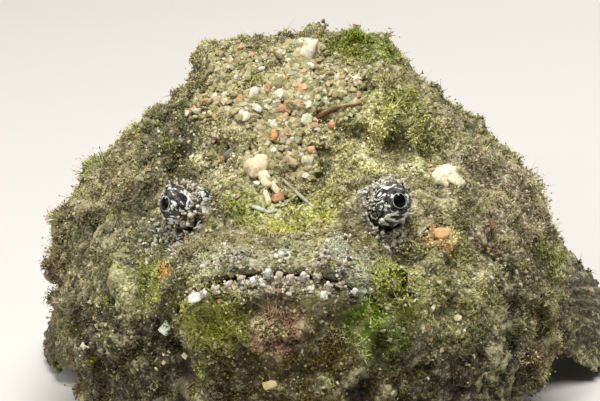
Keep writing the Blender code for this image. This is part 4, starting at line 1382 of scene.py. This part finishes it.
def squareStone():
    points = np.array([(x, y, z) for x in (-1, 1) for y in (-1, 1) for z in (-1, 1)], float) * 0.8
    quads = ((0, 1, 3, 2), (4, 6, 7, 5), (0, 4, 5, 1), (2, 3, 7, 6), (0, 2, 6, 4), (1, 5, 7, 3))
    faces = [f for a, b, c, d in quads for f in ((a, b, c), (a, c, d))]
    return points, np.array(faces)


def eightSided():
    points = np.array([(1, 0, 0), (0, 1, 0), (-1, 0, 0), (0, -1, 0), (0, 0, 1), (0, 0, -1)], float)
    faces = [(k, (k + 1) % 4, 4) for k in range(4)] + [((k + 1) % 4, k, 5) for k in range(4)]
    return points, np.array(faces)


grainShape = {
    "boxy": 0.75,  # lower is boxier
    "sides": ((0.8, 1.3), (0.7, 1.1), (0.7, 1.2)),  # length, width and height, as shares of the radius
    "jitter": (0.6, 1.5),
    "tilt": 0.35,
    # flatness and raggedness of each kind
    "plain": (0.72, 0.20),
    "crumb": (0.9, 0.25),
    "knob": (1.1, 0.32),
    "lipCrumb": (0.9, 0.30),
    "collar": (0.9, 0.20),
    "bump": (0.8, 0.08),
    "stain": (0.46, 0.70, 0.0, 0.55),
    "stainWaves": 1300.0,
    "stainColour": rgb(132, 118, 78),
    "relief": 0.00015,
}


def addGrains(name, places, normals, sizes, stone, material, kind="plain", smooth=True):
    (shape, faces), (flat, ragged) = stone, grainShape[kind]
    count, perPiece = len(places), len(shape)
    shape = np.sign(shape) * np.abs(shape) ** grainShape["boxy"]
    scale = np.stack([between(limits, count) for limits in grainShape["sides"]], axis=1)
    scale = scale * np.array([1.0, 1.0, flat]) * sizes[:, None]
    jitter = np.clip(1 + ragged * rng.normal(size=(count, perPiece, 1)), *grainShape["jitter"])
    up = unit(normals + grainShape["tilt"] * rng.normal(size=(count, 3)))
    side = unit(np.cross(up, rng.normal(size=(count, 3))))
    turned = (shape[None] * jitter * scale[:, None]) @ np.stack([side, np.cross(up, side), up], axis=1)
    points = places[:, None] + turned
    points[..., 2] = np.maximum(points[..., 2], growing["lowest"])
    return addParts(name, points, faces, places, material, smooth, pick=rng.random(count)[:, None])


def grainMaterial(name, palette, roughness=0.6):
    material, tree, shader, place = newMaterial(name, roughness)
    ramp = addNode(tree, "ShaderNodeValToRGB", {0: valueOf(tree, "pick")})
    ramp.color_ramp.interpolation = "CONSTANT"
    stops = ramp.color_ramp.elements
    while len(stops) < len(palette):
        stops.new(0.5)
    for stop, (position, colour) in zip(stops, palette):
        stop.position = position
        stop.color = colour
    stain = noiseNode(tree, place, grainShape["stainWaves"], 3.0, 0.6)
    colour = tinted(tree, ramp.outputs[0], grainShape["stainColour"], stain, *grainShape["stain"])
    wire(tree, colour, shader.inputs["Base Color"])
    addBump(tree, shader, stain, grainShape["relief"])
    return material


grainFinish = grainMaterial("sandGrain", sand["palette"])
knobFinish = grainMaterial("paleKnob", paleKnobs["palette"], 0.5)

# how many, radius from and to, how far out of the skin, how much rarer the big ones are, shape, finish
sandLayers = {
    "crown_sand": (7600, (0.00030, 0.00092), 0.8, 1.6, roundStone(1), grainFinish),
    "crown_pebbles": (330, (0.0007, 0.0012), 0.75, 1.8, roundStone(2), grainFinish),
    "face_sand": (3400, (0.00016, 0.00050), 0.8, 2.5, squareStone(), grainFinish),
    "back_sand": (900, (0.00025, 0.0007), 0.8, 2.0, squareStone(), grainFinish),
    "lip_frost": (2800, (0.00010, 0.00028), 0.6, 2.0, squareStone(), knobFinish),
}


def scatterSand():
    centre = triangleCentre
    clear = offEyes(centre) * (1 - triangleMouth)
    crown = np.zeros(len(centre))
    for (px, py), radius, much in sand["heaps"]:
        crown = np.maximum(crown, much * nearSpot(centre, px, py, radius))
    ragged = patchiness(centre, *sand["ragged"])
    facing = 1 - smoothStep(centre[:, 1], *sand["face"][:2])
    facing = facing * smoothStep(centre[:, 2], *sand["face"][2:])
    onLips = np.where(centre[:, 2] > mouthHeight(centre[:, 0]), 1.0, sand["lowerLip"])
    fine, coarse = sand["heapPowers"]
    weights = {
        "crown_sand": crown ** fine * clear * ragged,
        "crown_pebbles": crown ** coarse * clear * ragged,
        "face_sand": facing * clear * patchiness(centre, *sand["dusty"]),
        "back_sand": clear * (1 - facing) * (1 - triangleFin) * smoothStep(centre[:, 2], *sand["back"]),
        "lip_frost": mouthArea(centre) * clear * onLips * ragged,
    }
    for name, weight in weights.items():
        count, sizes, lift, power, stone, material = sandLayers[name]
        places, normals, _ = spread(weight, count)
        radii = between(sizes, count, power)
        places = places + normals * (radii * lift)[:, None]
        layer = addGrains(name, places, normals, radii, stone, material, smooth=False)
        if name.startswith("crown"):
            ground.append(treeOf(layer.data))


def addCrumbs():
    # crumbs of dirt that hang on the strands
    tips = np.concatenate(grownTips)
    places = tips[rng.choice(len(tips), turf["crumbCount"], replace=False)]
    radii = between(turf["crumbSize"], len(places), turf["crumbRarer"])
    stone, material = eightSided(), crumbMaterial()
    for k, part in enumerate(np.array_split(np.argsort(places[:, 1]), turf["crumbPieces"])):
        turned = unit(rng.normal(size=(len(part), 3)))
        addGrains(f"turf_crumbs_{k + 1}", places[part], turned, radii[part], stone, material, "crumb")


def addPaleKnobs():
    spots = []
    for (px, py), reach, count in paleKnobs["clusters"]:
        for dx, dy in rng.normal(size=(count, 2)) * reach * paleKnobs["gathered"]:
            spots.append(spotAt(px + dx, py + dy))
    places, normals = (np.array(part) for part in zip(*spots))
    radii = between(paleKnobs["size"], len(places), paleKnobs["rarer"])
    keep = offPupils(places)
    addGrains("pale_knobs", places[keep], normals[keep], radii[keep], roundStone(1), knobFinish, "knob")


scatterSand()
addCrumbs()
addPaleKnobs()


# stones that can be told one by one, each placed where it lies on the fish

# place in the picture, length and width in metres, turn in degrees, colour
stones = [
    ((257, 167), 0.0054, 0.0044, 35, rgb(238, 214, 178)),
    ((266, 180), 0.0044, 0.0028, -60, rgb(240, 222, 186)),
    ((273, 186), 0.0044, 0.0015, -52, rgb(238, 224, 188)),
    ((267, 199), 0.0038, 0.0014, -75, rgb(236, 220, 182)),
    ((286, 172), 0.0040, 0.0015, -80, rgb(236, 214, 182)),
    ((278, 198), 0.0026, 0.0020, 15, rgb(190, 138, 96)),
    ((307, 120), 0.0030, 0.0026, 60, rgb(206, 210, 176)),
    ((317, 131), 0.0018, 0.0013, 40, rgb(190, 198, 188)),
    ((308, 50), 0.0060, 0.0040, 75, rgb(222, 214, 188)),
    ((310, 66), 0.0022, 0.0018, 10, rgb(232, 226, 206)),
    ((254, 94), 0.0034, 0.0020, 70, rgb(218, 210, 192)),
    ((257, 108), 0.0026, 0.0016, -30, rgb(224, 220, 206)),
    ((246, 117), 0.0022, 0.0018, 60, rgb(220, 210, 188)),
    ((288, 141), 0.0030, 0.0020, 5, rgb(238, 232, 216)),
    ((272, 151), 0.0020, 0.0015, 40, rgb(240, 236, 224)),
    ((308, 160), 0.0028, 0.0024, 0, rgb(222, 218, 184)),
    ((274, 135), 0.0026, 0.0016, 80, rgb(222, 166, 100)),
    ((302, 88), 0.0024, 0.0018, 0, rgb(222, 174, 122)),
    ((332, 125), 0.0018, 0.0016, 0, rgb(214, 152, 112)),
    ((282, 108), 0.0024, 0.0016, 0, rgb(206, 150, 126)),
    ((311, 149), 0.0022, 0.0014, 20, rgb(222, 166, 122)),
    ((232, 152), 0.0036, 0.0022, 40, rgb(138, 142, 136)),
    ((444, 177), 0.0056, 0.0046, 60, rgb(238, 228, 196)),
    ((456, 181), 0.0040, 0.0026, -40, rgb(226, 216, 186)),
    ((452, 173), 0.0026, 0.0018, 30, rgb(232, 224, 198)),
    ((168, 327), 0.0036, 0.0026, 50, rgb(232, 238, 222)),
    ((197, 297), 0.0034, 0.0020, 20, rgb(226, 228, 218)),
    ((205, 265), 0.0026, 0.0010, 30, rgb(226, 220, 202)),
    ((325, 295), 0.0020, 0.0016, 0, rgb(230, 228, 214)),
    ((360, 290), 0.0028, 0.0016, -20, rgb(222, 224, 214)),
    ((187, 240), 0.0016, 0.0011, -70, rgb(190, 140, 82)),
    ((170, 275), 0.0030, 0.0014, -35, rgb(204, 154, 96)),
    ((457, 318), 0.0018, 0.0014, 0, rgb(220, 212, 180)),
    ((442, 234), 0.0034, 0.0026, 10, rgb(216, 172, 116)),
    ((430, 228), 0.0022, 0.0018, -30, rgb(206, 160, 104)),
    ((270, 385), 0.0030, 0.0018, 10, rgb(190, 172, 120)),
]

stoneShape = {
    "seed": 5,
    "squareness": 0.72,
    "thickness": 0.32,
    "sunk": 0.15,
    "raised": 0.6,  # of half its thickness
    "towardsView": 0.5,  # how much of the skin's slope a stone keeps
    "rough": ((1.1, 0.34), (3.0, 0.18), (7.0, 0.06)),  # waves to a stone, height
    "stain": (0.46, 0.72, 0.0, 0.7),
    "stainWaves": 700.0,
    "stainColour": rgb(120, 104, 66),
    "dimmed": (0.86, 0.86, 0.84, 1.0),
    "bump": 0.0003,
}


def stoneMaterial():
    material, tree, shader, place = newMaterial("reefStone", roughness=0.55, specular=0.35)
    stain = noiseNode(tree, place, stoneShape["stainWaves"], 4.0, 0.65)
    colour = valueOf(tree, "stoneColour", "Color")
    colour = mixColour(tree, 1.0, colour, stoneShape["dimmed"], "MULTIPLY")
    colour = tinted(tree, colour, stoneShape["stainColour"], stain, *stoneShape["stain"])
    wire(tree, colour, shader.inputs["Base Color"])
    addBump(tree, shader, stain, stoneShape["bump"])
    return material


stoneFinish = stoneMaterial()


def addColoured(name, points, faces, colours, roots, perPiece):
    # stones and twigs, each with a colour of its own
    mesh = meshFromArrays(name, points, faces)
    layer = mesh.attributes.new("stoneColour", "FLOAT_COLOR", "POINT")
    layer.data.foreach_set("color", np.array(colours, np.float32).ravel())
    giveBakeMap(mesh, np.array(roots), perPiece)
    addPiece(name, mesh, stoneFinish)


def layStones():
    shape, faces = roundStone(3)
    local = np.random.default_rng(stoneShape["seed"])
    upwards = camera.rotation_quaternion @ Vector((0, 1, 0))
    points, roots = [], []
    for (px, py), length, width, turn, _ in stones:
        place, normal = spotAt(px, py)
        normal = (normal * stoneShape["towardsView"] - rayThrough(px, py)[1]).normalized()
        flat = (upwards - normal * upwards.dot(normal)).normalized()
        side = flat.cross(normal).normalized()
        way = side * math.cos(math.radians(turn)) + flat * math.sin(math.radians(turn))
        other = normal.cross(way).normalized()
        thick = min(width, length) * stoneShape["thickness"]
        shift = Vector(local.random(3) * 10)
        rough = np.ones(len(shape))
        for waves, size in stoneShape["rough"]:
            rough += size * np.array([noise.noise(Vector(p) * waves + shift) for p in shape])
        body = np.sign(shape) * np.abs(shape) ** stoneShape["squareness"] * rough[:, None]
        body = body * np.array([length / 2, width / 2, thick])
        centre = np.array(place + normal * thick * (1 - stoneShape["sunk"]) * stoneShape["raised"])
        points.append(centre + body @ np.array([way[:], other[:], normal[:]]))
        roots.append(place[:])
    perPiece = len(shape)
    colours = np.repeat([stone[-1] for stone in stones], perPiece, axis=0)
    addColoured("stones", np.array(points), repeated(faces, perPiece, len(roots)), colours, roots, perPiece)


layStones()


# twigs and worm tubes that lie on the growth, each along a few places in the picture

twigs = [  # places, radius in metres, colour
    (((281, 177), (288, 186), (297, 194), (306, 202), (315, 209)), 0.00042, rgb(186, 180, 156)),
    (((297, 194), (290, 200), (282, 205), (275, 207)), 0.00034, rgb(190, 186, 162)),
    (((306, 202), (311, 197), (318, 192)), 0.00026, rgb(168, 162, 130)),
    (((252, 207), (259, 210), (267, 213), (277, 211)), 0.00052, rgb(206, 208, 196)),
    (((316, 117), (325, 113), (333, 110), (340, 108)), 0.00048, rgb(98, 66, 40)),
    (((338, 107), (346, 105), (354, 104), (362, 102)), 0.00034, rgb(186, 144, 102)),
    (((318, 240), (326, 228), (333, 218), (337, 208)), 0.00022, rgb(196, 190, 150)),
    (((418, 236), (424, 229), (430, 224)), 0.00030, rgb(208, 204, 184)),
]

twigShape = {
    "sides": 7,
    "steps": 5,  # rings from one place to the next
    "lift": 0.9,  # of the radius
    "uneven": (0.85, 1.15),
    "end": 0.35,
}


def layTwigs():
    sides, steps = twigShape["sides"], twigShape["steps"]
    points, faces, colours, roots = [], [], [], []
    for places, radius, colour in twigs:
        spots = [spotAt(px, py) for px, py in places]
        way = [Vector(hit) + normal * radius * twigShape["lift"] for hit, normal in spots]
        first, rings = len(points), (len(way) - 1) * steps + 1
        for k in range(rings):
            part = min(k // steps, len(way) - 2)
            share = k / steps - part
            centre = way[part].lerp(way[part + 1], share)
            forward = (way[part + 1] - way[part]).normalized()
            up = spots[part][1].lerp(spots[part + 1][1], share)
            across = forward.cross(up).normalized()
            up = across.cross(forward)
            thick = radius * (twigShape["end"] if k in (0, rings - 1) else between(twigShape["uneven"]))
            points += [centre + ringAt(across, up, turn, sides) * thick for turn in range(sides)]
        faces += tubeFaces(rings, sides, first)
        for start, flip in ((first, True), (first + (rings - 1) * sides, False)):
            for turn in range(1, sides - 1):
                corner = (start, start + turn, start + turn + 1)
                faces.append(corner[::-1] if flip else corner)
        colours += [colour] * (rings * sides)
        roots += [way[0][:]] * (rings * sides)
    addColoured("twigs", np.array([p[:] for p in points]), np.array(faces), colours, roots, 1)


layTwigs()


# lip fringe: pale knobbed tips along both lips, each a stalk with crumbs of skin round it

fringe = {
    "spacing": 0.00262,  # between the big tips of the lower lip
    "count": 15,
    "middleAt": 0.0008,  # the row's middle, a little to the fish's left
    "uneven": (-0.0002, 0.0002),
    "offCorner": 0.001,  # no tips this near the corners of the mouth
    "height": 0.0020,
    "radius": 0.00092,
    "smaller": (0.45, 1.5),  # how much smaller at the corners, and how suddenly
    "drop": 0.0006,  # root of the tips below the mouth line
    "crest": (0.0010, 0.0016, 0.0022, 0.0028),  # where the lip's crest is looked for below it
    "lean": ((-0.06, 0.06), -0.10, 1.0),  # sideways by chance, forward, up
    "setBack": 0.5,  # of the radius
    "crumbs": 11,
    "crumbsBehind": 0.3,  # of the radius, the furthest back
    "crumbSize": (0.00022, 0.00042),
    "palette": (
        (0.00, rgb(196, 190, 178)), (0.30, rgb(168, 158, 144)), (0.50, rgb(208, 208, 202)),
        (0.72, rgb(180, 160, 148)), (0.90, rgb(122, 112, 92)),
    ),
    "smallCount": 18,
    "smallUneven": (-0.25, 0.25),  # of their spacing
    "smallAbove": 0.0013,
    "smallSunk": 0.0003,
    "smallLean": ((-0.1, 0.1), -0.5, -0.9),
    "smallHeight": (0.00048, 0.00096),
    "smallRadius": (0.000336, 0.000546),
    # along a tip: share of its length, share of its radius
    "levels": ((0.0, 0.85), (0.30, 0.78), (0.60, 0.98), (0.82, 0.90), (0.96, 0.5)),
    "sides": 6,
    "bend": 0.2,
    "wobble": (0.8, 1.2),
}


def addTips(name, bases, normals, ways, lengths, radii, material):
    # each tip: a bent tapered stalk with a knob at its end
    levels, sides, bend = fringe["levels"], fringe["sides"], fringe["bend"]
    count, perPiece = len(bases), sides * len(levels) + 2
    points = np.empty((count, perPiece, 3))
    side = unit(np.cross(ways, normals + 0.01))
    other = np.cross(ways, side)
    for row, (share, thick) in enumerate(levels):
        centre = bases + ways * (lengths * share)[:, None] + normals * (lengths * bend * share ** 2)[:, None]
        for k in range(sides):
            wobble = radii * thick * between(fringe["wobble"], count)
            points[:, row * sides + k] = centre + ringAt(side, other, k, sides) * wobble[:, None]
    points[:, -2] = bases
    points[:, -1] = bases + ways * lengths[:, None] + normals * (lengths * bend)[:, None]
    faces = tubeFaces(len(levels), sides)
    last = (len(levels) - 1) * sides
    for k in range(sides):
        faces.append((perPiece - 2, (k + 1) % sides, k))
        faces.append((perPiece - 1, last + k, last + (k + 1) % sides))
    return addParts(name, points, faces, bases, material, pick=rng.random(count)[:, None])


def faceSpot(x, z):
    # the skin straight behind a place in the front view
    return ground[0].ray_cast(Vector((x, mouth["frontY"], z)), Vector((0, 1, 0)))[:2]


def leaning(limits, y, z):
    return Vector((between(limits), y, z)).normalized()


def addFringe():
    tips, crumbs = [], []
    half, radius = mouth["halfWidth"], fringe["radius"]
    less, power = fringe["smaller"]
    for k in range(fringe["count"]):
        x = fringe["middleAt"] + (k - (fringe["count"] - 1) / 2) * fringe["spacing"]
        x += between(fringe["uneven"])
        if abs(x) > half - fringe["offCorner"]:
            continue
        size = 1 - less * (abs(x) / half) ** power
        line = float(mouthHeight(x))
        crest = min((faceSpot(x, line - drop) for drop in fringe["crest"]), key=lambda spot: spot[0].y)
        way = leaning(*fringe["lean"])
        base = Vector((x, crest[0].y + radius * fringe["setBack"], line - fringe["drop"]))
        tips.append((base, crest[1], way, fringe["height"] * size, radius * size))
        for _ in range(int(fringe["crumbs"] * size)):
            share = rng.random()
            turn = rng.random() * 2 * math.pi
            back = min(math.sin(turn), fringe["crumbsBehind"])
            out = Vector((math.cos(turn), back, 0)) * radius * size
            crumbs.append((base + way * fringe["height"] * size * share + out, out))
    for k in range(fringe["smallCount"]):
        share = (k + 0.5 + between(fringe["smallUneven"])) / fringe["smallCount"] * 2 - 1
        x = share * (half - fringe["offCorner"])
        hit, normal = faceSpot(x, float(mouthHeight(x)) + fringe["smallAbove"])
        way = leaning(*fringe["smallLean"])
        tips.append((hit - normal * fringe["smallSunk"], normal, way,
                     between(fringe["smallHeight"]), between(fringe["smallRadius"])))
    finish = grainMaterial("lipKnob", fringe["palette"], 0.5)
    addTips("lip_fringe", *(np.array(part) for part in zip(*tips)), finish)
    sizes = between(fringe["crumbSize"], len(crumbs))
    places, normals = (np.array(part) for part in zip(*crumbs))
    addGrains("lip_crumbs", places, normals, sizes, roundStone(1), finish, "lipCrumb")


addFringe()


# growth that crowds the eyes: crumbs and stalks round each ball, and bigger pale bumps below

eyeGrowth = {
    "collar": 330,  # crumbs round each ball
    "angles": (62.0, 102.0),  # from the middle of the opening
    "collarSize": (0.00018, 0.00050),
    "rarer": 1.6,
    "collarOut": 1.2,  # of a crumb's radius, the furthest from the ball
    "stalks": 120,
    "stalkLength": (0.0006, 0.0015),
    "stalkRadius": (0.00016, 0.00032),
    "stalkSunk": 0.0002,
    "stalkLean": (0.5, (0.0, -0.3, -0.2)),  # by chance, and forward and down
    "perBump": 4,
    "scattered": 0.6,  # of a bump's radius
    "bumpSize": (0.55, 0.95),
    "bumps": (  # place in the picture, radius
        ((182, 213), 0.00052), ((188, 217), 0.00062), ((194, 214), 0.00050), ((186, 223), 0.00058),
        ((192, 225), 0.00046), ((198, 220), 0.00044), ((177, 218), 0.00044), ((164, 217), 0.00046),
        ((158, 224), 0.00050), ((163, 229), 0.00054), ((155, 233), 0.00044), ((168, 237), 0.00046),
        ((376, 216), 0.00054), ((382, 219), 0.00060), ((388, 216), 0.00044), ((380, 225), 0.00048),
        ((396, 214), 0.00044), ((402, 220), 0.00052), ((400, 229), 0.00056), ((406, 234), 0.00050),
        ((397, 238), 0.00046), ((386, 206), 0.00036), ((150, 224), 0.00040), ((173, 228), 0.00042),
    ),
}


def aroundBalls(count):
    # places on a belt round each ball, more of them below it than above
    low, high = (math.radians(angle) for angle in eyeGrowth["angles"])
    places, ways = [], []
    for side in (1, -1):
        axis = np.array(openingAxis(side))
        across = np.cross(axis, (0, 0, 1.0))
        across /= np.linalg.norm(across)
        tilt = between((low, high), count)
        turn = rng.normal(size=count) - math.pi / 2
        ring = across * np.cos(turn)[:, None] + np.cross(axis, across) * np.sin(turn)[:, None]
        ways.append(axis * np.cos(tilt)[:, None] + ring * np.sin(tilt)[:, None])
        places.append(np.array(eyeCentre(side)) + ways[-1] * eyes["radius"])
    return np.concatenate(places), np.concatenate(ways)


def addEyeGrowth():
    places, ways = aroundBalls(eyeGrowth["collar"])
    radii = between(eyeGrowth["collarSize"], len(places), eyeGrowth["rarer"])
    places += ways * (radii * rng.random(len(radii)) * eyeGrowth["collarOut"])[:, None]
    keep = offPupils(places)
    addGrains("eye_collar", places[keep], ways[keep], radii[keep], roundStone(1), knobFinish, "collar")
    places, ways = aroundBalls(eyeGrowth["stalks"])
    keep = offPupils(places)
    places, ways = places[keep], ways[keep]
    lengths, radii = (between(eyeGrowth[key], len(places)) for key in ("stalkLength", "stalkRadius"))
    chance, always = eyeGrowth["stalkLean"]
    toward = unit(ways + chance * rng.normal(size=ways.shape) + np.array(always))
    addTips("eye_stalks", places - ways * eyeGrowth["stalkSunk"], ways, toward, lengths, radii, knobFinish)


def addEyeBumps():
    bumps = []
    for (px, py), radius in eyeGrowth["bumps"]:
        place, normal = spotAt(px, py)
        side = 1 if px > picture["width"] / 2 else -1
        ballPlace, meets = onBall(side, px, py)
        if meets and (ballPlace - camera.location).length < (place - camera.location).length:
            place, normal = ballPlace, (ballPlace - eyeCentre(side)).normalized()
        for _ in range(eyeGrowth["perBump"]):
            shifted = place + Vector(rng.normal(size=3)) * radius * eyeGrowth["scattered"]
            bumps.append((shifted, normal, radius * between(eyeGrowth["bumpSize"])))
    places, normals, radii = (np.array(part) for part in zip(*bumps))
    keep = offPupils(places)
    addGrains("eye_bumps", places[keep], normals[keep], radii[keep], roundStone(2), knobFinish, "bump")


addEyeGrowth()
addEyeBumps()


# floor and light

studio = {
    "floorColour": rgb(198, 194, 187),
    "floorHalf": 3.0,
    "floorZ": -0.0002,
    "aim": (0, -0.10, 0.05),
    "lights": {  # power, place, size
        "key": (36.0, (0.12, -0.68, 1.42), 0.80),
        "fill": (8.0, (-1.10, -0.50, 0.80), 0.80),
        "rim": (12.0, (0.40, 1.20, 1.00), 0.80),
    },
    "sky": 0.16,
    "skyColour": (1.0, 0.99, 0.97, 1.0),
}


def makeFloor():
    mesh = bpy.data.meshes.new("floor")
    half = studio["floorHalf"]
    corners = [(x * half, y * half, 0) for x, y in ((-1, -1), (1, -1), (1, 1), (-1, 1))]
    mesh.from_pydata(corners, [], [(0, 1, 2, 3)])
    material, tree, shader, place = newMaterial("paleFloor", roughness=0.9, specular=0.2)
    shader.inputs["Base Color"].default_value = studio["floorColour"]
    mesh.materials.append(material)
    floor = linkNew("floor", mesh)
    floor.location.z = studio["floorZ"]


def addLight(name, power, place, size):
    data = bpy.data.lights.new(name, "AREA")
    data.energy = power
    data.size = size
    made = linkNew(name, data)
    made.location = place
    made.rotation_mode = "QUATERNION"
    made.rotation_quaternion = (Vector(studio["aim"]) - Vector(place)).to_track_quat("-Z", "Y")


def makeWorld():
    world = bpy.data.worlds.new("studio")
    world.use_nodes = True
    background = world.node_tree.nodes["Background"]
    background.inputs[0].default_value = studio["skyColour"]
    background.inputs[1].default_value = studio["sky"]
    bpy.context.scene.world = world
    bpy.context.scene.view_settings.view_transform = "Standard"


makeFloor()
for lightName, values in studio["lights"].items():
    addLight(lightName, *values)
makeWorld()
print("floor and light set")

total = sum(len(ob.data.polygons) for ob in bpy.data.objects if ob.type == "MESH" and ob.name != "floor")
print("faces in all:", total, "of them on the skin:", len(skinPiece.data.polygons))
